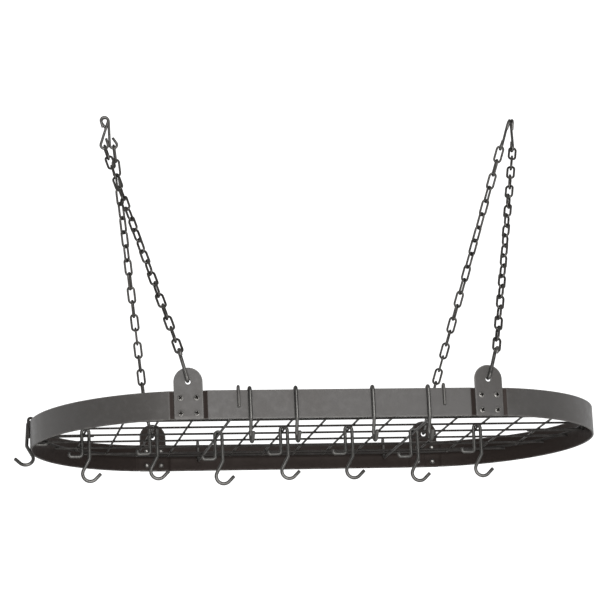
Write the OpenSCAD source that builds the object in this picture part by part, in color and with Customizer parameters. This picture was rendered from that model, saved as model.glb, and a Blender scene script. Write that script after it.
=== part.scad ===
// Hanging pot rack: an oval strap-steel ring with a lift-out wire grid, hung on four chains.
// Origin: midway between the two hanging points, where the upper hooks bear on the ceiling hooks.
// X runs along the ring, +Y is the rear, +Z is up.

/* [Ring] */
// Length of the oval ring over the strap
ring_l = 914; // [800:1:1100]
// Depth of the oval ring over the strap
ring_w = 483; // [430:1:540]
// Height of the strap
strap_h = 44.5; // [40:0.5:60]
// Thickness of the strap
strap_t = 3; // [2:0.5:4]
// Distance of each lug's middle past the end of the ring's straight side
lug_past = 18.5; // [10:0.5:22]
// Width of a lug plate, and twice the radius of its round top
lug_w = 44.5; // [40:0.5:47]
// Thickness of a lug plate
lug_t = 3; // [2:0.5:4]
// Height of a lug's top above the strap
lug_rise = 35.5; // [28:0.5:50]
// Bore of the chain hole in a lug
lug_hole = 8; // [7:0.25:10]
// Length of the flat joggled strap end behind a lug, from the lug's middle
joggle_flat = 24; // [23.5:0.5:30]
// Length of the slope between the joggled end and the strap's own line
joggle_run = 5; // [3:0.5:10]

/* [Screws] */
// Thread diameter of the lug screws
screw_d = 5; // [4:0.5:6]
// Diameter of a screw head
screw_head = 9.2; // [8:0.2:10.4]
// Height of a screw head
screw_head_h = 2.6; // [2:0.2:4]
// Distance between the two columns of screws on a lug
screw_span = 24.6; // [20:0.2:28]
// Height of the lower row of screws above the strap's lower edge
screw_low = 9; // [8:0.5:14]
// Height of the upper row of screws above the strap's lower edge
screw_high = 33; // [26:0.5:34]
// Width of a nut across its flats
nut_w = 8; // [7.5:0.5:10]
// Height of a nut
nut_h = 3; // [2:0.25:5]

/* [Grid] */
// Diameter of the grid wires
grid_d = 3.4; // [2.4:0.2:5]
// Distance between the wires that run from front to rear
cross_pitch = 53.3; // [48:0.1:60]
// Distance between the wires that run along the ring
long_pitch = 59.3; // [54:0.1:66]
// Height of the cross wires above the strap's lower edge
grid_z = 24; // [21:0.5:30]
// Space between the strap's inner face and the grid's oval edge wire
grid_gap = 10; // [8:0.5:16]
// How far the grid sits to the right of the ring's middle
grid_shift = 2.5; // [0:0.5:5]
// Diameter of the edge wire, the two support rods and the two end hangers
rod_d = 4.3; // [3.4:0.1:5]
// Length of a rod's outer leg, down from the top of its bend
rod_leg = 35; // [24:1:40]
// Height of the top of a rod's bend above the strap
rod_rise = 8; // [6.5:0.5:12]
// Length of an end hanger under the grid
hanger_run = 93; // [80:1:120]
// Radius of the bend at the foot of an end hanger, to the middle of the rod
hanger_bend = 3; // [2.6:0.1:4]

/* [Pot hooks] */
// Wire diameter of a pot hook
hook_d = 5; // [4:0.25:6]
// Space between the two legs of a pot hook
hook_gap = 6.5; // [6:0.1:8]
// Length of a pot hook from its top to the bottom of the J
hook_l = 89; // [85:1:110]
// Length of the short leg, from the top of the hook to the underside of its foot
hook_short = 49; // [46:0.5:52]
// Length of the foot on the short leg
hook_foot = 23; // [18:1:30]
// Radius of the J, to the middle of the wire
hook_j = 12; // [10:0.5:14]
// Angle of the set-back between the shank and the J
hook_set = 28; // [24:1:36]
// Length of the straight tip past the J
hook_tip = 12; // [6:1:20]
// Lean of the hook on the ring's left end
end_lean = 26; // [0:1:30]

/* [Chains and hangers] */
// Height from the strap's lower edge to the hanging points
drop = 546; // [480:1:700]
// Distance between the left and the right hanging point
hang_span = 684; // [640:2:740]
// How far the ring hangs to the left of the middle of the hanging points
ring_off = 17; // [0:1:25]
// Wire diameter of a chain link
link_d = 3.8; // [3:0.1:4]
// Width of a chain link over its wires
link_w = 14.8; // [14.6:0.1:17]
// Nominal pitch of the chain
link_pitch = 24.3; // [22:0.1:30]
// Wire diameter of the hooks at both ends of the chains
s_wire = 4.4; // [3.8:0.1:4.6]
// Radius of those hooks' loops, to the middle of the wire
s_loop = 5.9; // [5.8:0.1:6.6]
// Length of an upper hook over its loops
s_upper_l = 58; // [54:1:70]
// Length of a lower hook's straight shank
s_lower_shank = 36; // [32:1:50]

/* [Hidden] */

$fn = 40;
wire_fn = 24;

// Sides of the object, as signs of X and Y
left = -1;
right = 1;
front = -1;
rear = 1;

// Clearance between wires that touch, and between a wire and what it sits on
seat = 0.3;
// Clearance of the first link in the eye of its upper hook, which the swing uses up
eye_seat = 0.6;
// Gap between parts that are welded or screwed together
weld = 0.1;
// Half the slit between the butted strap ends behind a lug
butt = 0.3;
// Clearance of the screws in their holes, across the diameter
screw_slack = 0.3;
// Straight lengths of wire run this far into their bends, which are this much thinner
lap = 0.1;
lap_thin = 0.02;

// Ring: straight sides between two half circles
end_r = ring_w / 2;
end_x = ring_l / 2 - end_r;
inner_r = end_r - strap_t;
mid_r = end_r - strap_t / 2;
lug_x = end_x + lug_past;
lug_a = asin(lug_past / end_r);
pad_v = lug_t + weld;
joggle_out = joggle_flat + joggle_run;
arc_a = 90 - lug_a - joggle_out / end_r * 180 / PI;
hole_z = strap_h + lug_rise - lug_w / 2;

// Grid: cross wires and edge wire in one plane, long wires under them, support rods under those
edge_r = inner_r - grid_gap - rod_d / 2;
long_z = grid_z - grid_d - weld;
edge_z = long_z + (grid_d + rod_d) / 2 + weld;
rod_z = long_z - grid_d / 2 - rod_d / 2 - weld;
cross_n = floor((end_x + edge_r * 0.75) / cross_pitch);
long_n = floor((edge_r - grid_d * 4) / long_pitch);
rod_at = 3;
rod_bend = 6;
rim_bend = strap_t / 2 + seat + rod_d / 2;
rim_arc_z = strap_h + rod_rise - rod_d / 2 - rim_bend;
hanger_y = grid_d / 2 + rod_d / 2 + weld;
hanger_z = edge_z - rod_d - weld;
long_past = 3;

// Pot hook: the middle of the bend over the bar is its own origin
leg_x = (hook_gap + hook_d) / 2;
foot_bend = 5;
up_bend = 4;
foot_up = 3;
set_bend = 9;
slant_l = (2 * leg_x - (set_bend + hook_j) * (1 - cos(hook_set))) / sin(hook_set);
shank_l = hook_l - leg_x - hook_d - set_bend * sin(hook_set) - slant_l * cos(hook_set)
    - hook_j * (1 + sin(hook_set));
short_l = hook_short - leg_x - hook_d - foot_bend;
foot_l = hook_foot - hook_d / 2 - foot_bend - up_bend;
foot_end = [-leg_x - foot_bend - foot_l - up_bend, -short_l - foot_bend + up_bend + foot_up];
on_wire = grid_z + grid_d / 2 + seat - hook_gap / 2;
on_rod = rod_z + rod_d / 2 + seat - hook_gap / 2;
on_rim = strap_h - sqrt(pow(hook_gap / 2 - seat, 2) - pow(strap_t / 2, 2));

// Where the pot hooks hang: [share of the cross wires on one side, place along that wire]
grid_hooks = [[-1, -11], [-5 / 7, -27], [-3 / 7, -10], [-1 / 7, -9], [1 / 7, -5], [3 / 7, -10], [5 / 7, -5]];
function hook_wire(i) = round(grid_hooks[i][0] * cross_n);
function hook_seat(i) = abs(hook_wire(i)) == rod_at ? on_rod : on_wire;
// Places of the four hooks along the front rim
rim_hooks = [-140, -69, 50.5, 137.5];
// Turn of the left end's hook round the ring, from the ring's left tip towards the rear
end_turn = 6;
end_inset = 1.3;
end_tilt = 2.4;

// Chains and their hooks
link_r = (link_w - link_d) / 2;
s_half = s_upper_l / 2 - s_loop - s_wire / 2;
s_cross = asin(s_loop / s_half);
s_diag = sqrt(pow(s_half, 2) - pow(s_loop, 2));
s_end = (s_wire + 0.8) / sin(2 * s_cross);
loop_drop = 2 * s_half + s_loop - s_wire / 2;
pair_gap = s_wire / 2 + seat;
hang_x = hang_span / 2;
lower_y = lug_hole / 2 - s_wire / 2 - seat + s_loop;
lower_lean = asin((s_loop - s_wire / 2 - seat - lug_t / 2) / (lug_w / 2 - lower_y));
lower_end = 9;
lower_curl = 20;
lower_tail = 3;
lower_top = [2 * s_loop * cos(lower_lean) - s_lower_shank * sin(lower_lean),
    lower_y + 2 * s_loop * sin(lower_lean) + s_lower_shank * cos(lower_lean)];

// Lean of each upper hook in the plane of the ring's length, its foot towards +X
function hook_lean(sx, sy) = sx == left ? (sy == front ? -2 : 17.5) : (sy == front ? -3 : -20);
function unit(v) = v / norm(v);

// A lug's place: the middle of its outer face at the strap's lower edge, and the directions there
function out_dir(sx, sy) = [sx * sin(lug_a), sy * cos(lug_a), 0];
function along_dir(sx, sy) = [-sy * cos(lug_a), sx * sin(lug_a), 0];
function out_turn(sx, sy) = atan2(sy * cos(lug_a), sx * sin(lug_a));
function lug_at(sx, sy) = [sx * lug_x - ring_off, sy * end_r * cos(lug_a), -drop];
function hole_at(sx, sy) = lug_at(sx, sy) - out_dir(sx, sy) * lug_t / 2 + [0, 0, hole_z];

// An upper hook's bearing on the ceiling hook, the middle of its lower loop and the line square to its plane
function bearing(sx, sy) = sx == left ? [-hang_x, sy * pair_gap, 0] : [hang_x - sy * pair_gap, 0, 0];
function eye_at(sx, sy) =
    bearing(sx, sy) + loop_drop * [sin(hook_lean(sx, sy)), 0, -cos(hook_lean(sx, sy))];
function eye_square(sx, sy) = sx == left ? [0, 1, 0] : [cos(hook_lean(sx, sy)), 0, sin(hook_lean(sx, sy))];

// A lower hook's sideways turn towards its eye, its own upward line and the middle of its upper loop
function to_eye(sx, sy) = eye_at(sx, sy) - hole_at(sx, sy);
function lower_turn(sx, sy) = atan2(-to_eye(sx, sy) * along_dir(sx, sy), to_eye(sx, sy)[2]);
function lower_up(sx, sy) =
    [0, 0, cos(lower_turn(sx, sy))] - sin(lower_turn(sx, sy)) * along_dir(sx, sy);
function lower_loop(sx, sy) =
    hole_at(sx, sy) + lower_top[0] * out_dir(sx, sy) + lower_top[1] * lower_up(sx, sy);
function lower_square(sx, sy) = cross(out_dir(sx, sy), lower_up(sx, sy));

// Where a link's crown rests in a loop: the loop's middle, the line square to it, the pull and the clearance
function in_plane(pull, square) = unit(pull - (pull * square) * square);
function crown(middle, square, pull, gap) =
    middle + s_loop * in_plane(pull, square) - ((s_wire + link_d) / 2 + gap) * pull;

// The chain's line, from the crown of its top link to the crown of its bottom link
function pull_of(sx, sy) = unit(lower_loop(sx, sy) - eye_at(sx, sy));
function chain_top(sx, sy) = crown(eye_at(sx, sy), eye_square(sx, sy), pull_of(sx, sy), eye_seat);
function chain_foot(sx, sy) = crown(lower_loop(sx, sy), lower_square(sx, sy), -pull_of(sx, sy), seat);

// Turn of a link about the chain that brings its flat side square to the given line
function flat_roll(line, polar, azimuth) = atan2(
    -line * [cos(polar) * cos(azimuth), cos(polar) * sin(azimuth), -sin(polar)],
    line * [-sin(azimuth), cos(azimuth), 0]
);
function half_turn_rest(a) = a - 180 * round(a / 180);

// Round wire bent in the XY plane. Each step is a straight length, a turn to the left and its radius.
module bent_wire(d, steps, i = 0) {
    len = steps[i][0];
    turn = steps[i][1];
    r = steps[i][2];
    side = turn < 0 ? -1 : 1;
    lead = i > 0 ? lap : 0;
    trail = turn != 0 ? lap : 0;
    translate([-lead, 0, 0]) rotate([0, 90, 0]) cylinder(d = d, h = lead + len + trail, $fn = wire_fn);
    translate([len, 0, 0]) {
        if (turn != 0) {
            mirror([0, side < 0 ? 1 : 0, 0])
                translate([0, r, 0]) rotate([0, 0, -90])
                    rotate_extrude(angle = abs(turn)) translate([r, 0])
                        circle(d = d - lap_thin, $fn = wire_fn);
        }
        if (i + 1 < len(steps)) {
            translate([r * sin(abs(turn)), side * r * (1 - cos(turn)), 0])
                rotate([0, 0, turn]) bent_wire(d, steps, i + 1);
        }
    }
}

// Stands what is drawn in the XY plane up in the XZ plane
module upright() {
    rotate([90, 0, 0]) children();
}

// The ring's own frame: its middle, at the strap's lower edge
module at_ring() {
    translate([-ring_off, 0, -drop]) children();
}

// A lug's frame: X outwards, Y along the strap, from the lower edge of its outer face
module at_lug(sx, sy) {
    translate(lug_at(sx, sy)) rotate([0, 0, out_turn(sx, sy)]) children();
}

// The four screw places of a lug, X still outwards
module at_screws() {
    for (y = [-1, 1], z = [screw_low, screw_high]) {
        translate([0, y * screw_span / 2, z]) children();
    }
}

module screw_holes(sx, sy) {
    reach = 4 * (lug_t + strap_t);
    at_lug(sx, sy) at_screws() rotate([0, 90, 0])
        cylinder(d = screw_d + screw_slack, h = 2 * reach, center = true, $fn = wire_fn);
}

// A point beside a lug in the ring's plane: u along the strap away from the middle, v outwards
function pad_point(u, v) = [lug_x + u * cos(lug_a) + v * sin(lug_a),
    end_r * cos(lug_a) - u * sin(lug_a) + v * cos(lug_a)];
function flip_x(points) = [for (i = [len(points) - 1:-1:0]) [-points[i][0], points[i][1]]];

// One long side of the ring, with both ends set in behind the lugs
module long_band(sy) {
    bend_x = lug_x - joggle_out;
    half = [
        [bend_x, end_r], pad_point(-joggle_flat, -pad_v), pad_point(-butt, -pad_v),
        pad_point(-butt, -pad_v - strap_t), pad_point(-joggle_flat, -pad_v - strap_t), [bend_x, inner_r]
    ];
    color("#5f5b58") difference() {
        at_ring() mirror([0, sy == front ? 1 : 0, 0])
            linear_extrude(strap_h) polygon(concat(half, flip_x(half)));
        screw_holes(left, sy);
        screw_holes(right, sy);
    }
}

// Half an outline that trims a circle to the ring's end: in past the lug, along the pad and out at the slope
function end_side(u, depth, r) =
    let (corner = pad_point(joggle_flat, -depth),
        on_arc = [end_x + r * cos(arc_a), r * sin(arc_a)],
        beyond = 2 * on_arc - corner)
    [pad_point(u, -lug_w), pad_point(u, -depth), corner, beyond, [end_x + 2 * r, beyond[1]]];
function flip_y(points) = [for (i = [len(points) - 1:-1:0]) [points[i][0], -points[i][1]]];

module end_disc(u, depth, r) {
    side = end_side(u, depth, r);
    intersection() {
        translate([end_x, 0]) circle(r = r, $fn = 120);
        polygon(concat(side, flip_y(side)));
    }
}

// One rounded end of the ring, with both ends set in behind the lugs
module end_band(sx) {
    color("#5f5b58") difference() {
        at_ring() mirror([sx == left ? 1 : 0, 0, 0]) linear_extrude(strap_h) difference() {
            end_disc(butt, pad_v, end_r);
            end_disc(-lug_w / 2, pad_v + strap_t, inner_r);
        }
        screw_holes(sx, front);
        screw_holes(sx, rear);
    }
}

// A lug plate with its round top and its chain hole
module lug(sx, sy) {
    color("#66625f") difference() {
        at_lug(sx, sy) translate([-lug_t, 0, 0]) rotate([90, 0, 90]) linear_extrude(lug_t) difference() {
            union() {
                translate([-lug_w / 2, 0]) square([lug_w, hole_z]);
                translate([0, hole_z]) circle(d = lug_w);
            }
            translate([0, hole_z]) circle(d = lug_hole);
        }
        screw_holes(sx, sy);
    }
}

// The four pan-head screws of a lug, each with a cross recess
module screws(sx, sy) {
    rim_h = 0.45 * screw_head_h;
    dome_h = screw_head_h - rim_h;
    dome_r = (pow(screw_head / 2, 2) + pow(dome_h, 2)) / (2 * dome_h);
    shank = lug_t + strap_t + nut_h + 1.5;
    slot_l = 0.5 * screw_head;
    slot_w = 0.14 * screw_head;
    slot_h = 0.6 * screw_head_h;
    color("#b5b2ad") at_lug(sx, sy) at_screws() rotate([0, 90, 0]) difference() {
        union() {
            translate([0, 0, -shank]) cylinder(d = screw_d, h = shank + weld + rim_h / 2, $fn = wire_fn);
            intersection() {
                translate([0, 0, weld]) cylinder(d = screw_head, h = screw_head_h);
                translate([0, 0, weld + screw_head_h - dome_r]) sphere(r = dome_r);
            }
        }
        for (turn = [45, 135]) {
            translate([0, 0, weld + screw_head_h - slot_h / 2]) rotate([0, 0, turn])
                cube([slot_l, slot_w, slot_h + 0.01], center = true);
        }
    }
}

// The four nuts behind a lug
module nuts(sx, sy) {
    color("#3a3634") at_lug(sx, sy) at_screws() translate([-pad_v - strap_t - weld, 0, 0])
        rotate([0, -90, 0]) difference() {
            cylinder(d = nut_w / cos(30), h = nut_h, $fn = 6);
            translate([0, 0, -1]) cylinder(d = screw_d + screw_slack, h = nut_h + 2, $fn = wire_fn);
        }
}

// Half length of a wire across an oval of two half circles, at a distance from the oval's middle
function oval_y(x, r) = abs(x) <= end_x ? r : sqrt(pow(r, 2) - pow(abs(x) - end_x, 2));
function oval_x(y, r) = end_x + sqrt(pow(r, 2) - pow(y, 2));

module grid_edge_wire() {
    color("#5c5854") at_ring() translate([grid_shift, 0, edge_z]) for (turn = [0, 180]) rotate([0, 0, turn]) {
        translate([end_x, 0, 0]) rotate([0, 0, -90]) rotate_extrude(angle = 180, $fn = 96)
            translate([edge_r, 0]) circle(d = rod_d - lap_thin, $fn = wire_fn);
        translate([-end_x - lap, edge_r, 0]) rotate([0, 90, 0])
            cylinder(d = rod_d, h = 2 * (end_x + lap), $fn = wire_fn);
    }
}

// The support rods take the place of two of the cross wires
module grid_cross_wires() {
    butt_r = edge_r - rod_d / 2 - weld;
    color("#5c5854") at_ring() for (i = [-cross_n:cross_n]) if (abs(i) != rod_at) {
        reach = oval_y(abs(i * cross_pitch) + grid_d / 2, butt_r);
        translate([grid_shift + i * cross_pitch, 0, grid_z]) rotate([90, 0, 0])
            cylinder(d = grid_d, h = 2 * reach, center = true, $fn = wire_fn);
    }
}

module grid_long_wires() {
    color("#5c5854") at_ring() for (i = [-long_n:long_n]) {
        reach = oval_x(i * long_pitch, edge_r) + long_past;
        translate([grid_shift, i * long_pitch, long_z]) rotate([0, 90, 0])
            cylinder(d = grid_d, h = 2 * reach, center = true, $fn = wire_fn);
    }
}

// A rod under the grid from front to rear, bent over both rims
module support_rod(sx) {
    leg = rod_leg - rod_d / 2 - rim_bend;
    rise = rim_arc_z - rod_z - rod_bend;
    span = 2 * (mid_r - rim_bend - rod_bend);
    color("#5c5854") at_ring() translate([grid_shift + sx * rod_at * cross_pitch, 0, 0])
        rotate([0, 0, 90]) upright() translate([-mid_r - rim_bend, rim_arc_z - leg, 0]) rotate([0, 0, 90])
            bent_wire(rod_d, [
                [leg, -180, rim_bend], [rise, 90, rod_bend], [span, 90, rod_bend],
                [rise, -180, rim_bend], [leg, 0, 0]
            ]);
}

// A short rod bent over the strap at one end of the ring, beside the middle long wire
module end_hanger(sx) {
    leg = rod_leg - rod_d / 2 - rim_bend;
    rise = rim_arc_z - hanger_z - hanger_bend;
    color("#5c5854") at_ring() mirror([sx == right ? 1 : 0, 0, 0])
        translate([-end_x - mid_r - rim_bend, hanger_y, 0]) upright()
            translate([0, rim_arc_z - leg, 0]) rotate([0, 0, 90])
                bent_wire(rod_d, [[leg, -180, rim_bend], [rise, 90, hanger_bend], [hanger_run, 0, 0]]);
}

// A pot hook, its bend round the origin, its J towards +X
module pot_hook() {
    color("#6b6864") upright() translate([foot_end[0], foot_end[1], 0]) rotate([0, 0, -90])
        bent_wire(hook_d, [
            [foot_up, 90, up_bend], [foot_l, 90, foot_bend], [short_l, -180, leg_x],
            [shank_l, -hook_set, set_bend], [slant_l, 135 + hook_set, hook_j], [hook_tip, 0, 0]
        ]);
}

module grid_hook(i) {
    at_ring() translate([grid_shift + hook_wire(i) * cross_pitch, grid_hooks[i][1], hook_seat(i)]) pot_hook();
}

module rim_hook(i) {
    at_ring() translate([rim_hooks[i], -mid_r, on_rim]) rotate([0, 0, -90]) pot_hook();
}

// The hook at the ring's left end hangs askew on the round rim, leaning forwards below the end hanger
module end_hook() {
    apex = on_rim + leg_x - strap_h;
    at_ring() translate([-end_x, 0, strap_h]) rotate([0, 0, 180 - end_turn])
        translate([mid_r - end_inset, 0, 0]) rotate([end_lean, 0, 0])
            translate([0, 0, apex / cos(end_lean) + seat]) rotate([0, -end_tilt, 0])
                translate([0, 0, -leg_x]) pot_hook();
}

// One link of chain, its long way along Z and its flat side square to Y
module chain_link(reach) {
    run = reach - 2 * link_r;
    upright() {
        for (turn = [0, 180]) rotate([0, 0, turn]) {
            translate([0, run / 2, 0]) rotate_extrude(angle = 180)
                translate([link_r, 0]) circle(d = link_d - lap_thin, $fn = wire_fn);
            translate([link_r, 0, 0]) rotate([90, 0, 0])
                cylinder(d = link_d, h = run + 2 * lap, center = true, $fn = wire_fn);
        }
    }
}

// A chain from an upper hook's eye to a lower hook's loop, every link a quarter turn from the last
module chain(sx, sy) {
    top = chain_top(sx, sy);
    line = chain_foot(sx, sy) - top;
    down = unit(line);
    polar = acos(-down[2]);
    azimuth = atan2(-down[1], -down[0]);
    count = round((norm(line) - link_d - weld) / link_pitch);
    pitch = (norm(line) - link_d - weld) / count;
    reach = pitch + link_d + weld;
    pull = pull_of(sx, sy);
    top_flat = cross(eye_square(sx, sy), in_plane(pull, eye_square(sx, sy)));
    foot_flat = cross(lower_square(sx, sy), in_plane(-pull, lower_square(sx, sy)));
    top_roll = flat_roll(top_flat, polar, azimuth);
    foot_roll = flat_roll(foot_flat, polar, azimuth);
    rest = half_turn_rest(foot_roll - 90 * (count - 1) - top_roll);
    twist = sx == left ? rest + (rest < 0 ? 180 : -180) : rest;
    color("#4a4644") for (i = [0:count - 1]) {
        share = i / (count - 1);
        translate(top + down * (reach / 2 + (count - 1 - i) * pitch)) rotate([0, polar, azimuth])
            rotate([0, 0, foot_roll - 90 * i - twist * pow(share, 1.5)]) chain_link(reach);
    }
}

// A hook through a lug's hole, its shank lying over the lug's rounded top
module lower_hook(sx, sy) {
    color("#6b6864") translate(hole_at(sx, sy)) rotate([0, 0, out_turn(sx, sy)])
        rotate([lower_turn(sx, sy), 0, 0]) upright()
            translate([-s_loop, lower_y + lower_end, 0]) rotate([0, 0, -90])
                bent_wire(s_wire, [
                    [lower_end, 180 + lower_lean, s_loop],
                    [s_lower_shank, -180 - lower_curl, s_loop], [lower_tail, 0, 0]
                ]);
}

// A closed figure-eight hook between a ceiling hook and the first link
module upper_hook(sx, sy) {
    color("#6b6864") translate(bearing(sx, sy)) rotate([0, -hook_lean(sx, sy), 0])
        rotate([0, 0, sx == right ? 90 : 0]) translate([0, 0, s_wire / 2 - s_loop - s_half]) upright()
            rotate([0, 0, 90 + s_cross]) translate([s_end, 0, 0]) bent_wire(s_wire, [
                [s_diag - s_end, -180 - 2 * s_cross, s_loop],
                [2 * s_diag, 180 + 2 * s_cross, s_loop], [s_diag - s_end, 0, 0]
            ]);
}

long_band(front);  // band_front
long_band(rear);  // band_rear
end_band(left);  // band_left
end_band(right);  // band_right
lug(left, front);  // lug_front_left
lug(right, front);  // lug_front_right
lug(left, rear);  // lug_rear_left
lug(right, rear);  // lug_rear_right
screws(left, front);  // screws_front_left
screws(right, front);  // screws_front_right
screws(left, rear);  // screws_rear_left
screws(right, rear);  // screws_rear_right
nuts(left, front);  // nuts_front_left
nuts(right, front);  // nuts_front_right
nuts(left, rear);  // nuts_rear_left
nuts(right, rear);  // nuts_rear_right
grid_edge_wire();
grid_cross_wires();
grid_long_wires();
support_rod(left);  // support_rod_left
support_rod(right);  // support_rod_right
end_hanger(left);  // end_hanger_left
end_hanger(right);  // end_hanger_right
grid_hook(0);  // pot_hook_1
grid_hook(1);  // pot_hook_2
grid_hook(2);  // pot_hook_3
grid_hook(3);  // pot_hook_4
grid_hook(4);  // pot_hook_5
grid_hook(5);  // pot_hook_6
grid_hook(6);  // pot_hook_7
rim_hook(0);  // rim_hook_1
rim_hook(1);  // rim_hook_2
rim_hook(2);  // rim_hook_3
rim_hook(3);  // rim_hook_4
end_hook();
chain(left, front);  // chain_front_left
chain(right, front);  // chain_front_right
chain(left, rear);  // chain_rear_left
chain(right, rear);  // chain_rear_right
lower_hook(left, front);  // lower_hook_front_left
lower_hook(right, front);  // lower_hook_front_right
lower_hook(left, rear);  // lower_hook_rear_left
lower_hook(right, rear);  // lower_hook_rear_right
upper_hook(left, front);  // upper_hook_front_left
upper_hook(right, front);  // upper_hook_front_right
upper_hook(left, rear);  // upper_hook_rear_left
upper_hook(right, rear);  // upper_hook_rear_right
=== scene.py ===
"""The hanging pot rack: an oval strap ring with a wire grid, pan hooks, chains and ceiling hooks."""

import math

import bmesh
import bpy
from mathutils import Matrix, Vector


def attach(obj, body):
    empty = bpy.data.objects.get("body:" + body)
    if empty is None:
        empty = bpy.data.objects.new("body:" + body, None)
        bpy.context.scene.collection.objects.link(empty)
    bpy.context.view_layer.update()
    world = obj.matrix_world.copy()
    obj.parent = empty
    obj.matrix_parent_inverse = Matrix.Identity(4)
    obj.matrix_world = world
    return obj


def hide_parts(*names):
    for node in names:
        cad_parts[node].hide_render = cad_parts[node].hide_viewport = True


bl_info = {
    "name": "Hanging pot rack",
    "version": (1, 0, 0),
    "blender": (4, 5, 0),
    "location": "View3D > Sidebar > Pot rack",
    "description": "Builds an oval pot rack with its grid, hooks and chains over the packed frame",
    "category": "Object",
}

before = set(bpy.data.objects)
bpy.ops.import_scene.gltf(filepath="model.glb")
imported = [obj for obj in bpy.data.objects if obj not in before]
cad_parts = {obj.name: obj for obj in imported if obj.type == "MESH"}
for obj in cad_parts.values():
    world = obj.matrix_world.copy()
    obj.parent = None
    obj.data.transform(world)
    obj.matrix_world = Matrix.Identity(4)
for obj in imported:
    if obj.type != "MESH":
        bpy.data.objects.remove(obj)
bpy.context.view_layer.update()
MM = 0.001
LEFT, RIGHT = -1, 1
FRONT, REAR = -1, 1
CORNERS = [(LEFT, FRONT), (RIGHT, FRONT), (LEFT, REAR), (RIGHT, REAR)]
SIDE_NAMES = {LEFT: "left", RIGHT: "right"}
FACE_NAMES = {FRONT: "front", REAR: "rear"}
# Clearances in millimetres: a piece resting on another, a link in its ceiling hook, a welded joint,
# and the ends of two straps that meet behind a lug.
SEAT = 0.3
EYE_SEAT = 0.6
WELD = 0.1
BUTT = 0.3
# Corners round a wire, and round a chain link's wire.
WIRE_SIDES = 20
LINK_SIDES = 14


def corner_name(kind, side, face):
    """A piece's name with its corner, such as lug_front_left."""
    return "%s_%s_%s" % (kind, FACE_NAMES[face], SIDE_NAMES[side])


def length(name, description, default):
    """A length in metres, given here in millimetres."""
    return bpy.props.FloatProperty(name=name, description=description, default=default * MM,
                                   unit="LENGTH", subtype="DISTANCE", precision=4)


def angle(name, description, default):
    """An angle in radians, given here in degrees."""
    return bpy.props.FloatProperty(name=name, description=description, default=math.radians(default),
                                   subtype="ANGLE")


def whole_number(name, description, default):
    """A count of pieces."""
    return bpy.props.IntProperty(name=name, description=description, default=default)


def strength(name, description, default, unit="NONE"):
    """A plain strength, shown in the unit that fits it."""
    return bpy.props.FloatProperty(name=name, description=description, default=default, unit=unit)


def tone(name, description, default):
    """A colour, as linear red, green and blue."""
    return bpy.props.FloatVectorProperty(name=name, description=description, default=default,
                                         subtype="COLOR", size=3, min=0.0, max=1.0)


class RingSizes(bpy.types.PropertyGroup):
    """Sizes of the oval ring, its lugs and its place under the hanging points"""
    ring_l: length("Ring length", "Outer length of the oval ring", 914)
    ring_w: length("Ring width", "Outer width of the oval ring", 483)
    strap_h: length("Strap height", "Height of the strap", 44.5)
    strap_t: length("Strap thickness", "Thickness of the strap", 3)
    strap_round: length("Strap edge", "Rounding of the strap's edges", 0.7)
    lug_past: length("Lug past the side", "From the end of the straight side to a lug's middle", 18.5)
    lug_w: length("Lug width", "Width of a lug", 44.5)
    lug_t: length("Lug thickness", "Thickness of a lug", 3)
    lug_rise: length("Lug rise", "Height of a lug above the strap", 35.5)
    lug_hole: length("Lug hole", "Chain hole of a lug", 8)
    joggle_flat: length("Pad half length", "From a lug's middle to the slope of the strap", 24)
    joggle_run: length("Slope length", "Length of the strap's slope", 5)
    # Painted shade in the narrow slopes beside each lug, as a share of the shade tone.
    slope_dull: bpy.props.FloatProperty(
        name="Dull slopes", description="How dull the coat is in the slopes",
        default=1.0, min=0.0, max=1.0, subtype="FACTOR")
    drop: length("Drop", "From the hanging points to the ring's lower edge", 546)
    ring_off: length("Ring offset", "From the ring's middle to the middle of the hanging points", 17)


class ScrewSizes(bpy.types.PropertyGroup):
    """Sizes of the screws and nuts, and their places on a lug"""
    screw_d: length("Screw diameter", "Diameter of the shank", 5)
    head_d: length("Head diameter", "Diameter of the pan head", 9.2)
    head_h: length("Head height", "Height of the pan head", 2.6)
    span: length("Screw span", "Between the two columns of screws", 24.6)
    low: length("Lower screws", "Height of the lower screws", 9)
    high: length("Upper screws", "Height of the upper screws", 33)
    nut_w: length("Nut width", "Width of a nut across its flats", 8)
    nut_h: length("Nut height", "Height of a nut", 3)
    pitch: length("Thread pitch", "Pitch of the screws' thread", 0.8)


class GridSizes(bpy.types.PropertyGroup):
    """Sizes of the grid, its support rods and its end hangers"""
    wire_d: length("Grid wire", "Diameter of the cross and long wires", 3.4)
    rod_d: length("Rod", "Diameter of the edge wire and the bent rods", 4.3)
    cross_pitch: length("Cross pitch", "Between two cross wires", 53.3)
    long_pitch: length("Long pitch", "Between two long wires", 59.3)
    height: length("Grid height", "From the ring's lower edge to the cross wires", 24)
    gap: length("Edge gap", "From the strap to the edge wire", 10)
    shift: length("Grid shift", "The loose grid's place along the ring", 2.5)
    rod_leg: length("Rod leg", "Outer leg of a bent rod", 35)
    rod_rise: length("Rod rise", "Height of a bent rod above the rim", 8)
    rod_bend: length("Rod bend", "Inner bend of a bent rod", 6)
    hanger_run: length("Hanger run", "Length of an end hanger under the grid", 93)
    hanger_bend: length("Hanger bend", "Bend at the foot of an end hanger", 3)
    past: length("Wire ends", "Length of a long wire past the edge wire", 3)
    rod_at: whole_number("Rod place", "Cross wire whose place a rod takes", 3)
    cross_n: whole_number("Cross wires", "Cross wires each side of the middle", 7)
    long_n: whole_number("Long wires", "Long wires each side of the middle", 3)


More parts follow.
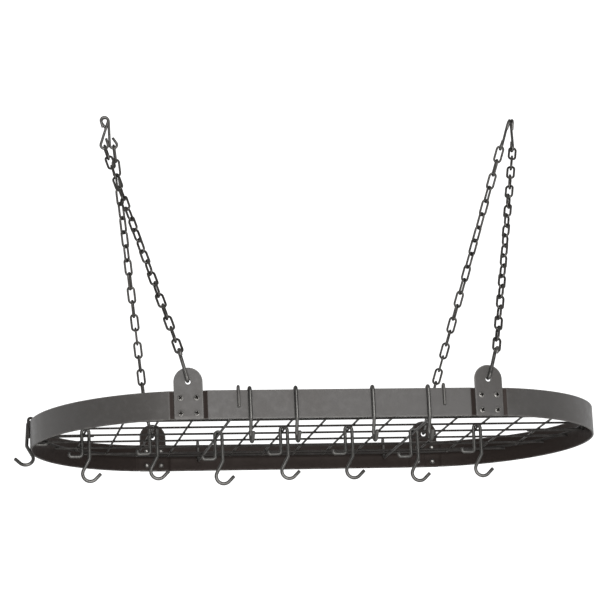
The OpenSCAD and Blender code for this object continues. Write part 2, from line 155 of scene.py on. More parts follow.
class HookSizes(bpy.types.PropertyGroup):
    """Sizes of a pan hook, and how the hook at the left end sits"""
    wire_d: length("Hook wire", "Diameter of the hook wire", 5)
    gap: length("Hook gap", "Clear gap in a hook's bend", 6.5)
    full_l: length("Hook length", "Outer length of a hook", 89)
    short_l: length("Short leg", "Outer length of the short leg", 49)
    foot_l: length("Foot", "Outer length of the foot", 23)
    foot_bend: length("Foot bend", "Bend between the short leg and the foot", 5)
    up_bend: length("Tip bend", "Bend at the foot's tip", 4)
    foot_up: length("Foot tip", "Straight end of the foot's tip", 3)
    bowl_r: length("Bowl", "Radius of the J", 12)
    set_bend: length("Set bend", "Radius of the bend above the J", 9)
    tip: length("Tip", "Straight tip past the J", 12)
    set_back: angle("Set", "Slope of the shank above the J", 28)
    end_lean: angle("End lean", "Lean of the hook at the left end", 26)
    end_turn: angle("End turn", "Place of that hook round the end", 6)
    end_tilt: angle("End tilt", "Outward tilt of that hook", 2.4)
    end_inset: length("End inset", "Inward place of that hook on the rim", 1.3)
    stout: length("Hook's coat", "How much stouter the coated hooks are than their wire", 0.5)


class ChainSizes(bpy.types.PropertyGroup):
    """Sizes of the chains and of the hooks at both their ends"""
    hang_span: length("Hanging span", "Between the two hanging points", 684)
    link_d: length("Link wire", "Diameter of the chain wire", 3.8)
    link_w: length("Link width", "Outer width of a link", 14.8)
    link_pitch: length("Link pitch", "Inner length of a link", 24.3)
    s_wire: length("Hanger wire", "Diameter of the wire of the chains' hooks", 4.4)
    s_loop: length("Hanger loop", "Centreline radius of their loops", 5.9)
    s_upper_l: length("Upper hook", "Outer length of an upper hook", 58)
    s_shank: length("Lower shank", "Straight shank of a lower hook", 36)
    s_stout: length("Lower hook's coat", "How much stouter the coated lower hooks are", 1.2)


class Finishes(bpy.types.PropertyGroup):
    """Colours of the coats, the zinc and the oxide, and the tone of the painted shade"""
    coat: tone("Coat", "Satin graphite coat of the strap", (0.090, 0.086, 0.083))
    coat_light: tone("Coat, light", "Lighter clouding of the coat", (0.104, 0.099, 0.095))
    coat_dark: tone("Coat, dark", "Darker clouding of the coat", (0.080, 0.075, 0.071))
    # Lighter edges: rubbed wear together with a painted highlight along the edges.
    worn: tone("Worn edge", "Coat rubbed thin at the edges", (0.15, 0.143, 0.136))
    # Painted shade: this dark tone stands in for shade on the strap's inner faces, the backs of the lugs and
    # the slopes beside them.
    inner: tone("Inner coat", "Thinner, duller coat on the strap's inner face", (0.034, 0.0265, 0.0235))
    # The grid's wires share one coat. This darker copy, on the edge wire, long wires and end hangers, is
    # painted shade.
    wire: tone("Wire coat", "Coat of the grid's long wires and edge wire", (0.045, 0.0415, 0.039))
    # This lighter copy of the same wire coat, on the cross wires and support rods, is a painted highlight.
    rod: tone("Rod coat", "Coat of the support rods and cross wires", (0.120, 0.115, 0.109))
    hook: tone("Hook coat", "Coat of the hooks", (0.150, 0.146, 0.139))
    chain: tone("Chain coat", "Coat of the chains", (0.120, 0.115, 0.108))
    zinc: tone("Zinc", "Zinc of the screws", (0.30, 0.29, 0.275))
    oxide: tone("Oxide", "Dark oxide of the nuts", (0.030, 0.027, 0.025))


class StageSettings(bpy.types.PropertyGroup):
    """The floor, the white surround, the lamps and the lens"""
    floor_z: length("Floor", "Height of the floor under the hanging points", -2050)
    floor_tone: tone("Floor colour", "Colour of the floor", (0.86, 0.86, 0.86))
    ambient: strength("Ambient", "Soft light from the front", 0.22)
    backdrop: strength("Backdrop", "Light of the white backdrop", 1.25)
    key: strength("Key", "Power of the front lamp", 85.0, unit="POWER")
    fill: strength("Fill", "Power of the side lamp", 6.0, unit="POWER")
    under: strength("Under", "Power of the low lamp", 15.0, unit="POWER")
    focal: strength("Focal length", "Lens of the camera", 161.08, unit="CAMERA")


def sizes(group):
    """The lengths of a property group in millimetres, and its other numbers as they are."""
    found = {}
    for prop in group.bl_rna.properties:
        if prop.identifier in ("rna_type", "name"):
            continue
        value = getattr(group, prop.identifier)
        found[prop.identifier] = value / MM if prop.unit == "LENGTH" else value
    return found


# ---------------------------------------------------------------- shapes

class Shape:
    """Points in millimetres, faces, and at each point its edge tone, for wear and painted highlight, and its
    painted shade.
    """

    def __init__(self):
        self.points = []
        self.faces = []
        self.worn = []
        self.inside = []

    def skin(self, rings, worn=None, inside=None, closed=False, caps=True):
        """Joins rings of equal length with faces."""
        start = len(self.points)
        count = len(rings)
        size = len(rings[0])
        for i, ring in enumerate(rings):
            for j, point in enumerate(ring):
                self.points.append(Vector(point))
                self.worn.append(worn(i, j) if worn else 0.0)
                self.inside.append(inside(i, j) if inside else 0.0)
        for i in range(count if closed else count - 1):
            this, other = start + i * size, start + ((i + 1) % count) * size
            for j in range(size):
                k = (j + 1) % size
                self.faces.append((this + j, this + k, other + k, other + j))
        if caps and not closed:
            last = start + (count - 1) * size
            self.faces.append(tuple(start + j for j in reversed(range(size))))
            self.faces.append(tuple(last + j for j in range(size)))

    def moved(self, matrix, since=0):
        """Moves the points added since a given one, and returns the shape."""
        for i in range(since, len(self.points)):
            self.points[i] = matrix @ self.points[i]
        return self

    def piece(self, name, material, body, nodes, slot, sharp=40):
        """Makes the shape a piece that rides on a body in the place of its nodes."""
        mesh = bpy.data.meshes.new(name)
        mesh.from_pydata([tuple(p * MM) for p in self.points], [], self.faces)
        mesh.validate()
        work = bmesh.new()
        work.from_mesh(mesh)
        bmesh.ops.recalc_face_normals(work, faces=work.faces)
        work.to_mesh(mesh)
        work.free()
        mesh.polygons.foreach_set("use_smooth", [True] * len(mesh.polygons))
        mesh.set_sharp_from_angle(angle=math.radians(sharp))
        for label, values in (("worn", self.worn), ("inside", self.inside)):
            layer = mesh.attributes.new(label, "FLOAT", "POINT")
            layer.data.foreach_set("value", values)
        mesh.materials.append(material)
        piece = bpy.data.objects.new(name, mesh)
        bpy.context.scene.collection.objects.link(piece)
        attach(piece, body)
        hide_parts(*nodes)
        return piece


# Points nearer than this, in millimetres, are one point.
SAME_POINT = 1e-4
# A wire's cut end: how far in from the end and how wide, as shares of its radius, and how much lighter edge
# tone it takes, for wear and painted highlight.
CUT_END = [(0.0, 0.80, 1.0), (0.08, 0.93, 1.0), (0.28, 1.0, 0.3)]


def bent_path(steps, arc_step=10.0):
    """Points along a wire bent in the XY plane.

    A step is a straight length, a turn to the left in degrees and that turn's radius.
    """
    here = Vector((0.0, 0.0, 0.0))
    heading = 0.0
    points = [here.copy()]
    for run, turn, radius in steps:
        here = here + run * Vector((math.cos(heading), math.sin(heading), 0.0))
        points.append(here.copy())
        pieces = max(1, round(abs(turn) / arc_step)) if turn else 0
        bend = math.radians(turn) / pieces if pieces else 0.0
        chord = 2 * radius * math.sin(abs(bend) / 2)
        for _ in range(pieces):
            heading += bend / 2
            here = here + chord * Vector((math.cos(heading), math.sin(heading), 0.0))
            heading += bend / 2
            points.append(here.copy())
    tidy = [points[0]]
    for point in points[1:]:
        if (point - tidy[-1]).length > SAME_POINT:
            tidy.append(point)
    return tidy


def tube(shape, path, radius, closed=False, sides=WIRE_SIDES, swell=None):
    """Round wire along a path. Open ends are cut square with a small chamfer."""
    count = len(path)
    rings, wear_and_highlight_marks = [], []
    normal = None
    for i, point in enumerate(path):
        before = path[i - 1] if closed else path[max(i - 1, 0)]
        after = path[(i + 1) % count] if closed else path[min(i + 1, count - 1)]
        along = (after - before).normalized()
        normal = along.orthogonal() if normal is None else normal
        normal = (normal - along * normal.dot(along)).normalized()
        side = along.cross(normal)
        turns = [2 * math.pi * j / sides for j in range(sides)]
        spokes = [normal * math.cos(a) + side * math.sin(a) for a in turns]
        scale = swell[i] if swell else 1.0
        cuts = [(0.0, scale, 0.0)]
        if not closed and i == 0:
            cuts = CUT_END
        if not closed and i == count - 1:
            cuts = [(-step, width, worn) for step, width, worn in reversed(CUT_END)]
        for step, width, worn in cuts:
            rings.append([point + along * step * radius + s * radius * width for s in spokes])
            wear_and_highlight_marks.append(worn)
    shape.skin(rings, worn=lambda i, j: wear_and_highlight_marks[i], closed=closed)


def bead(shape, centre, radii, around=10, up=6):
    """A small weld bead, with its radii along X, Y and Z."""
    rings = []
    for i in range(1, up):
        tall = math.pi * i / up
        rings.append([
            Vector((centre[0] + radii[0] * math.sin(tall) * math.cos(2 * math.pi * j / around),
                    centre[1] + radii[1] * math.sin(tall) * math.sin(2 * math.pi * j / around),
                    centre[2] - radii[2] * math.cos(tall)))
            for j in range(around)
        ])
    shape.skin(rings)


UPRIGHT = Matrix.Rotation(math.radians(90), 4, "X")


def turn_z(degrees):
    """A turn to the left about Z."""
    return Matrix.Rotation(math.radians(degrees), 4, "Z")


def shift(x, y, z):
    """A move in millimetres."""
    return Matrix.Translation((x, y, z))


# ---------------------------------------------------------------- places that pieces share

class Layout:
    """Places worked out from the sizes, in millimetres from the hanging points' midpoint."""

    def __init__(self, scene):
        self.ring = sizes(scene.pot_rack_ring)
        self.screw = sizes(scene.pot_rack_screws)
        self.grid = sizes(scene.pot_rack_grid)
        self.hook = sizes(scene.pot_rack_hooks)
        self.chain = sizes(scene.pot_rack_chains)
        ring, grid, hook, chain = self.ring, self.grid, self.hook, self.chain
        self.end_r = ring["ring_w"] / 2
        self.end_x = (ring["ring_l"] - ring["ring_w"]) / 2
        self.inner_r = self.end_r - ring["strap_t"]
        self.mid_r = self.end_r - ring["strap_t"] / 2
        self.lug_x = self.end_x + ring["lug_past"]
        self.lug_a = math.asin(ring["lug_past"] / self.end_r)
        self.pad_v = ring["lug_t"] + WELD
        self.joggle_out = ring["joggle_flat"] + ring["joggle_run"]
        self.arc_a = math.pi / 2 - self.lug_a - self.joggle_out / self.end_r
        self.hole_z = ring["strap_h"] + ring["lug_rise"] - ring["lug_w"] / 2
        self.at_ring = shift(-ring["ring_off"], 0, -ring["drop"])
        # grid
        self.wire_r = grid["wire_d"] / 2
        self.rod_r = grid["rod_d"] / 2
        self.crossings = [i for i in range(-grid["cross_n"], grid["cross_n"] + 1)
                          if abs(i) != grid["rod_at"]]
        self.rim_bend = ring["strap_t"] / 2 + SEAT + self.rod_r
        self.rim_leg = grid["rod_leg"] - self.rod_r - self.rim_bend
        self.rim_arc_z = ring["strap_h"] + grid["rod_rise"] - self.rod_r - self.rim_bend
        self.edge_r = self.inner_r - grid["gap"] - self.rod_r
        self.long_z = grid["height"] - grid["wire_d"] - WELD
        self.edge_z = self.long_z + (grid["wire_d"] + grid["rod_d"]) / 2 + WELD
        self.rod_z = self.long_z - self.wire_r - self.rod_r - WELD
        # hooks
        self.leg_x = (hook["gap"] + hook["wire_d"]) / 2
        self.on_wire = grid["height"] + self.wire_r + SEAT - hook["gap"] / 2
        self.on_rod = self.rod_z + self.rod_r + SEAT - hook["gap"] / 2
        self.on_rim = ring["strap_h"] - math.sqrt((hook["gap"] / 2 - SEAT) ** 2 - (ring["strap_t"] / 2) ** 2)
        # chains
        self.link_r = (chain["link_w"] - chain["link_d"]) / 2
        self.s_half = chain["s_upper_l"] / 2 - chain["s_loop"] - chain["s_wire"] / 2
        self.s_cross = math.asin(chain["s_loop"] / self.s_half)
        self.loop_drop = 2 * self.s_half + chain["s_loop"] - chain["s_wire"] / 2
        self.lower_y = ring["lug_hole"] / 2 - chain["s_wire"] / 2 - SEAT + chain["s_loop"]
        self.lower_lean = math.asin((chain["s_loop"] - chain["s_wire"] / 2 - SEAT - ring["lug_t"] / 2)
                                    / (ring["lug_w"] / 2 - self.lower_y))

    def pad_point(self, u, v):
        """A point beside the rear right lug: u along the strap away from the middle, v outwards."""
        a = self.lug_a
        return Vector((self.lug_x + u * math.cos(a) + v * math.sin(a),
                       self.end_r * math.cos(a) - u * math.sin(a) + v * math.cos(a)))

    def arc_point(self, at):
        """A point on the outer face of the ring's right end, at an angle in radians."""
        return Vector((self.end_x + self.end_r * math.cos(at), self.end_r * math.sin(at)))

    def out_dir(self, side, face):
        """Level and straight out of a lug's face."""
        return Vector((side * math.sin(self.lug_a), face * math.cos(self.lug_a), 0))

    def along_dir(self, side, face):
        """Level and along the strap at a lug."""
        return Vector((-face * math.cos(self.lug_a), side * math.sin(self.lug_a), 0))

    def out_turn(self, side, face):
        """The turn about Z, in radians, that points X out of a lug's face."""
        return math.atan2(face * math.cos(self.lug_a), side * math.sin(self.lug_a))

    def lug_at(self, side, face):
        """The foot of a lug's outer face, on the lug's middle line."""
        ring = self.ring
        return Vector((side * self.lug_x - ring["ring_off"], face * self.end_r * math.cos(self.lug_a),
                       -ring["drop"]))

    def lug_frame(self, side, face):
        """A lug's frame: X out of its face, Y along the strap and Z up, from its foot."""
        return Matrix.Translation(self.lug_at(side, face)) @ Matrix.Rotation(
            self.out_turn(side, face), 4, "Z")

    def hole_at(self, side, face):
        """The middle of a lug's chain hole, halfway through the plate."""
        return (self.lug_at(side, face) - self.out_dir(side, face) * self.ring["lug_t"] / 2
                + Vector((0, 0, self.hole_z)))


def layout(context):
    """The places for the sizes as they stand now."""
    return Layout(context.scene)


# ---------------------------------------------------------------- finishes

def colour_of(group, name):
    """A setting's colour, fully opaque."""
    value = getattr(group, name)
    return (value[0], value[1], value[2], 1.0)


PAINTED_SHADE_SHINE = 0.2    # share of the shine kept where painted shade darkens a face


def coat(name, tones, worn, inner=None, rough=(0.40, 0.54), metal=0.2, edge_tint=0.6, shine=0.5,
         peel=0.00006, peel_size=900.0):
    """A satin coat: clouded tones, fine orange peel, and edges lightened for wear and a painted highlight.

    Where a shape is marked with painted shade, the coat takes the shade tone and little shine.
    """
    finish = bpy.data.materials.new(name)
    finish.use_nodes = True
    tree = finish.node_tree
    tree.nodes.clear()
    link = tree.links.new
    out = tree.nodes.new("ShaderNodeOutputMaterial")
    shader = tree.nodes.new("ShaderNodeBsdfPrincipled")
    shader.inputs["Metallic"].default_value = metal
    shader.inputs["Specular Tint"].default_value = (edge_tint, edge_tint, edge_tint, 1.0)
    shader.inputs["Specular IOR Level"].default_value = shine
    link(shader.outputs[0], out.inputs[0])
    place = tree.nodes.new("ShaderNodeTexCoord")

    def noise(size, detail, roughness=0.5):
        node = tree.nodes.new("ShaderNodeTexNoise")
        node.inputs["Scale"].default_value = size
        node.inputs["Detail"].default_value = detail
        node.inputs["Roughness"].default_value = roughness
        link(place.outputs["Object"], node.inputs["Vector"])
        return node

    def mix(first, second, factor):
        node = tree.nodes.new("ShaderNodeMix")
        node.data_type = "RGBA"
        for socket, value in ((6, first), (7, second), (0, factor)):
            if isinstance(value, (tuple, float)):
                node.inputs[socket].default_value = value
            else:
                link(value, node.inputs[socket])
        return node.outputs[2]

    def between(value, low, high, to_low=0.0, to_high=1.0):
        node = tree.nodes.new("ShaderNodeMapRange")
        node.inputs["From Min"].default_value = low
        node.inputs["From Max"].default_value = high
        node.inputs["To Min"].default_value = to_low
        node.inputs["To Max"].default_value = to_high
        link(value, node.inputs["Value"])
        return node.outputs[0]

    def times(first, second):
        node = tree.nodes.new("ShaderNodeMath")
        node.operation = "MULTIPLY"
        link(first, node.inputs[0])
        link(second, node.inputs[1])
        return node.outputs[0]

    def painted(label):
        node = tree.nodes.new("ShaderNodeAttribute")
        node.attribute_name = label
        return node.outputs["Fac"]

    def bumped(heights, amount, distance, normal=None):
        node = tree.nodes.new("ShaderNodeBump")
        node.inputs["Strength"].default_value = amount
        node.inputs["Distance"].default_value = distance
        link(heights.outputs["Fac"], node.inputs["Height"])
        if normal is not None:
            link(normal, node.inputs["Normal"])
        return node.outputs["Normal"]

    cloud = noise(size=14.0, detail=3.0)
    patch = noise(size=95.0, detail=4.0, roughness=0.6)
    grain = noise(size=700.0, detail=2.0)
    dark, mid, light = tones
    colour = mix(dark, mid, between(cloud.outputs["Fac"], 0.36, 0.56))
    colour = mix(colour, light, between(patch.outputs["Fac"], 0.50, 0.78, 0.0, 0.75))
    speck = between(grain.outputs["Fac"], 0.60, 0.74, 0.0, 0.35)
    colour = mix(colour, light, speck)
    # Painted shade: where a shape is marked, the colour turns to the shade tone and the shine drops.
    if inner:
        painted_shade_share = between(painted("inside"), 0.0, 1.0)
        colour = mix(colour, inner, painted_shade_share)
        painted_shade_shine = between(painted("inside"), 0.0, 1.0, shine, PAINTED_SHADE_SHINE * shine)
        link(painted_shade_shine, shader.inputs["Specular IOR Level"])
    # Lighter edges: wear together with a painted highlight, broken into patches.
    wear_and_highlight_share = times(painted("worn"), between(patch.outputs["Fac"], 0.34, 0.62))
    colour = mix(colour, worn, wear_and_highlight_share)
    link(colour, shader.inputs["Base Color"])
    link(between(patch.outputs["Fac"], 0.3, 0.75, rough[0], rough[1]), shader.inputs["Roughness"])
    fine = bumped(noise(size=peel_size, detail=2.0), 0.35, peel)
    link(bumped(cloud, 0.25, 0.0004, fine), shader.inputs["Normal"])
    return finish


# Each plain finish: its colour's label, how far its clouding spreads, and how it takes the light.
PLAIN_FINISHES = {
    # The two wire coats are one coat: the darker is painted shade on wires along the ring, the lighter a
    # painted highlight on wires across it.
    "wire_coat": ("wire", 0.28, {"rough": (0.38, 0.52), "metal": 0.5, "edge_tint": 0.1, "shine": 0.3}),
    "rod_coat": ("rod", 0.28, {"rough": (0.34, 0.48), "metal": 0.5, "edge_tint": 0.4}),
    "hook_coat": ("hook", 0.28, {"rough": (0.34, 0.46), "metal": 0.85, "edge_tint": 0.12}),
    "chain_coat": ("chain", 0.28, {"rough": (0.36, 0.50), "metal": 0.85, "edge_tint": 0.12}),
    # On the screws the bright edge tone on the head's rim is a painted highlight, and the near-black tone in
    # the cross recess is painted shade.
    "bright_zinc": ("zinc", 0.16, {
        "worn": (0.62, 0.60, 0.57, 1.0), "inner": (0.012, 0.011, 0.010, 1.0), "rough": (0.36, 0.50),
        "metal": 0.9, "edge_tint": 0.8, "peel": 0.00003, "peel_size": 1600.0}),
    "dark_oxide": ("oxide", 0.28, {"worn": (0.16, 0.15, 0.14, 1.0), "rough": (0.40, 0.58)}),
}


def finish_named(context, name):
    """One of the rack's finishes, made when it is first asked for."""
    if name in bpy.data.materials:
        return bpy.data.materials[name]
    tones = context.scene.pot_rack_finishes
    worn = colour_of(tones, "worn")
    if name == "strap_coat":
        strap_tones = [colour_of(tones, label) for label in ("coat_dark", "coat", "coat_light")]
        return coat(name, strap_tones, worn, inner=colour_of(tones, "inner"))
    label, spread, manner = PLAIN_FINISHES[name]
    base = getattr(tones, label)
    clouded = [tuple(c * k for c in base) + (1.0,) for k in (1 - spread, 1.0, 1 + spread * 1.6)]
    return coat(name, clouded, **{"worn": worn, **manner})


# ---------------------------------------------------------------- ring

MOST_CUT = 0.45     # share of a straight that the rounding of a corner may take


def rounded_line(points, radius, pieces=5):
    """A line through points whose inner corners are rounded."""
    line = [points[0]]
    for before, corner, after in zip(points[:-2], points[1:-1], points[2:]):
        back = (before - corner).normalized()
        on = (after - corner).normalized()
        cut = min(radius, MOST_CUT * (before - corner).length, MOST_CUT * (after - corner).length)
        start, end = corner + back * cut, corner + on * cut
        for i in range(pieces + 1):
            t = i / pieces
            line.append(start * (1 - t) ** 2 + corner * 2 * t * (1 - t) + end * t ** 2)
    line.append(points[-1])
    return line


def strap_section(height, thick, edge, pieces=4):
    """Corners of the strap's section, rounded, from its outer face: (outward, up, edge wear and painted
    highlight, painted shade).
    """
    section = []
    # The inner face's corners are marked for painted shade.
    corners = [(-edge, edge, 270, 0.0), (-edge, height - edge, 0, 0.0),
               (-thick + edge, height - edge, 90, 1.0), (-thick + edge, edge, 180, 1.0)]
    for x, z, start, inside in corners:
        for i in range(pieces + 1):
            a = math.radians(start + 90 * i / pieces)
            section.append((x + edge * math.cos(a), z + edge * math.sin(a), 1.0, inside))
    full = []
    for i, here in enumerate(section):
        full.append(here)
        after = section[(i + 1) % len(section)]
        if abs(here[1] - after[1]) > height / 2:
            for t in (0.04, 0.5, 0.96):
                full.append((here[0] * (1 - t) + after[0] * t, here[1] * (1 - t) + after[1] * t, 0.0,
                             here[3]))
    return full


def strap(line, ring, dull):
    """The strap bent along a line seen from above.

    The line is the strap's outer face, run with the outside on its right. The third argument gives
    the painted shade at a point of the line.
    """
    shape = Shape()
    section = strap_section(ring["strap_h"], ring["strap_t"], ring["strap_round"])
    rings = []
    count = len(line)
    for i, point in enumerate(line):
        before, after = line[max(i - 1, 0)], line[min(i + 1, count - 1)]
        first = (point - before).normalized() if i else (after - point).normalized()
        second = (after - point).normalized() if i < count - 1 else first
        along = (first + second).normalized()
        out = Vector((along.y, -along.x))
        spread = 1 / max(0.5, along.dot(first))
        rings.append([Vector((point.x + out.x * o * spread, point.y + out.y * o * spread, z))
                      for o, z, _, _ in section])
    shape.skin(rings, worn=lambda i, j: section[j][2], inside=lambda i, j: max(section[j][3], dull(line[i])))
    return shape


# Rounding of the slopes beside a lug, and the straight that leads to one on a long strap.
SLOPE_ROUND = 2.5
SLOPE_LEAD = 12
# The share of an end's arc past its slopes, and the pieces of that arc and of a long side.
ARC_SHARE = 0.94
ARC_PIECES = 80
SIDE_PIECES = 24


class RACK_OT_straps(bpy.types.Operator):
    """Builds the four bent straps of the oval ring"""
    bl_idname = "pot_rack.straps"
    bl_label = "Ring straps"

    def execute(self, context):
        plan = layout(context)
        ring = plan.ring
        pad = [plan.pad_point(BUTT, -plan.pad_v), plan.pad_point(ring["joggle_flat"], -plan.pad_v)]
        arc_start = plan.arc_a * ARC_SHARE
        lead = rounded_line(pad + [plan.arc_point(plan.arc_a), plan.arc_point(arc_start)], SLOPE_ROUND)
        arc = [plan.arc_point(arc_start * (1 - 2 * i / ARC_PIECES)) for i in range(1, ARC_PIECES)]
        tail = [Vector((p.x, -p.y)) for p in reversed(lead)]
        end_line = (lead + arc + tail)[::-1]
        bend_x = plan.lug_x - plan.joggle_out
        half = [plan.pad_point(-BUTT, -plan.pad_v), plan.pad_point(-ring["joggle_flat"], -plan.pad_v),
                Vector((bend_x, plan.end_r)), Vector((bend_x - SLOPE_LEAD, plan.end_r))]
        half = rounded_line(half, SLOPE_ROUND)
        middle = [Vector((half[-1].x * (1 - 2 * i / SIDE_PIECES), plan.end_r))
                  for i in range(1, SIDE_PIECES)]
        long_line = half + middle + [Vector((-p.x, p.y)) for p in reversed(half)]
        lug = Vector((plan.lug_x, plan.end_r * math.cos(plan.lug_a)))

        def dull(point):
            """Painted shade in the narrow slopes beside a lug."""
            away = (Vector((abs(point.x), abs(point.y))) - lug).length
            return ring["slope_dull"] if ring["lug_w"] / 2 < away < plan.joggle_out else 0.0

        for side in (LEFT, RIGHT):
            shape = strap(end_line, ring, dull).moved(Matrix.Diagonal((side, 1, 1, 1)))
            self.finish(context, plan, shape, "band_" + SIDE_NAMES[side])
        for face in (FRONT, REAR):
            shape = strap(long_line, ring, dull).moved(Matrix.Diagonal((1, face, 1, 1)))
            self.finish(context, plan, shape, "band_" + FACE_NAMES[face])
        return {"FINISHED"}

    @staticmethod
    def finish(context, plan, shape, node):
        """Puts a strap in its place and makes it a piece."""
        shape.moved(plan.at_ring)
        shape.piece("coated_" + node, finish_named(context, "strap_coat"), "rack", [node], "strap")


# ---------------------------------------------------------------- lugs

class RACK_OT_lugs(bpy.types.Operator):
    """Builds the four lug plates with their round tops, chain holes and rounded edges"""
    bl_idname = "pot_rack.lugs"
    bl_label = "Lugs"

    def execute(self, context):
        plan = layout(context)
        for side, face in CORNERS:
            shape = self.plate(plan)
            shape.moved(plan.lug_frame(side, face))
            node = corner_name("lug", side, face)
            shape.piece("coated_" + node, finish_named(context, "strap_coat"), "rack", [node], "strap")
        return {"FINISHED"}

    @staticmethod
    def plate(plan, spokes=96, edge=0.7, hole_edge=0.5):
        """The plate in a lug's frame: X outwards from its outer face, Y along the strap."""
        ring = plan.ring
        half, hole = ring["lug_w"] / 2, ring["lug_hole"] / 2
        centre = plan.hole_z
        flat = hole + 2.0

        def rim(a, inset):
            """Where a spoke from the hole's middle leaves the outline, drawn in by an inset."""
            y, z = math.cos(a), math.sin(a)
            wide = half - inset
            if z >= 0:
                return wide
            reach = wide / max(abs(y), 1e-6)
            return min(reach, (centre - inset) / -z)

        def profile(spoke):
            """Along a spoke from the hole over the face, round the edge and back: (radius, x, edge tone for
            wear and painted highlight).
            """
            full, drawn = rim(spoke, 0.0), rim(spoke, edge)
            line = [(hole, -hole_edge, 1.0), (hole + 0.3 * hole_edge, -0.3 * hole_edge, 1.0),
                    (hole + hole_edge, 0.0, 0.6), (flat, 0.0, 0.0)]
            line += [(flat + (drawn - flat) * t, 0.0, 0.0) for t in (0.3, 0.6, 0.9)]
            for i in range(5):
                a = math.radians(90 - 22.5 * i)
                line.append((drawn + (full - drawn) * math.cos(a), -edge + edge * math.sin(a), 1.0))
            back = [(r, -ring["lug_t"] - x, w) for r, x, w in reversed(line)]
            return line + back

        turns = sorted([2 * math.pi * i / spokes for i in range(spokes)]
                       + [math.atan2(-centre, s * half) % (2 * math.pi) for s in (-1, 1)])
        # Behind this depth, the plate's back takes painted shade.
        inner_x = -0.6 * ring["lug_t"]
        rings, wear_and_highlight_marks = [], []
        for a in turns:
            line = profile(a)
            rings.append([Vector((x, r * math.cos(a), centre + r * math.sin(a))) for r, x, _ in line])
            wear_and_highlight_marks.append([w for _, _, w in line])
        shape = Shape()
        shape.skin(rings, worn=lambda i, j: wear_and_highlight_marks[i][j],
                   inside=lambda i, j: 1.0 if rings[i][j].x < inner_x else 0.0, closed=True)
        return shape


# ---------------------------------------------------------------- screws and nuts

# Each screw stops at a turn of its own: this many degrees from one to the next, and from lug to lug.
SCREW_TURN = 37
LUG_TURN = 61
# Shares of a pan head: its straight rim and the recess's depth by its height, the cross's arms and half
# width by its diameter.
HEAD_RIM, RECESS_DEEP = 0.45, 0.6
RECESS_ARM, RECESS_WIDE = 0.33, 0.105
RECESS_SLOPE = 0.25
# The thread's depth, the screw's tip past its nut, and the tip's taper: its depth and its length.
THREAD_DEEP = 0.28
PAST_NUT = 1.5
TIP_DEEP, TIP_LONG = 0.5, 0.8
SHANK_SLACK = 0.02
# A nut's slack on its screw, the chamfer of its hole, inwards and wide, and its round face as a share.
NUT_SLACK = 0.15
NUT_LEAD_DEEP, NUT_LEAD_WIDE = 0.3, 0.35
NUT_FACE = 0.95


def at_screws(screw):
    """The places of a lug's four screws, in the lug's frame."""
    return [shift(0, y * screw["span"] / 2, z) for y in (-1, 1) for z in (screw["low"], screw["high"])]


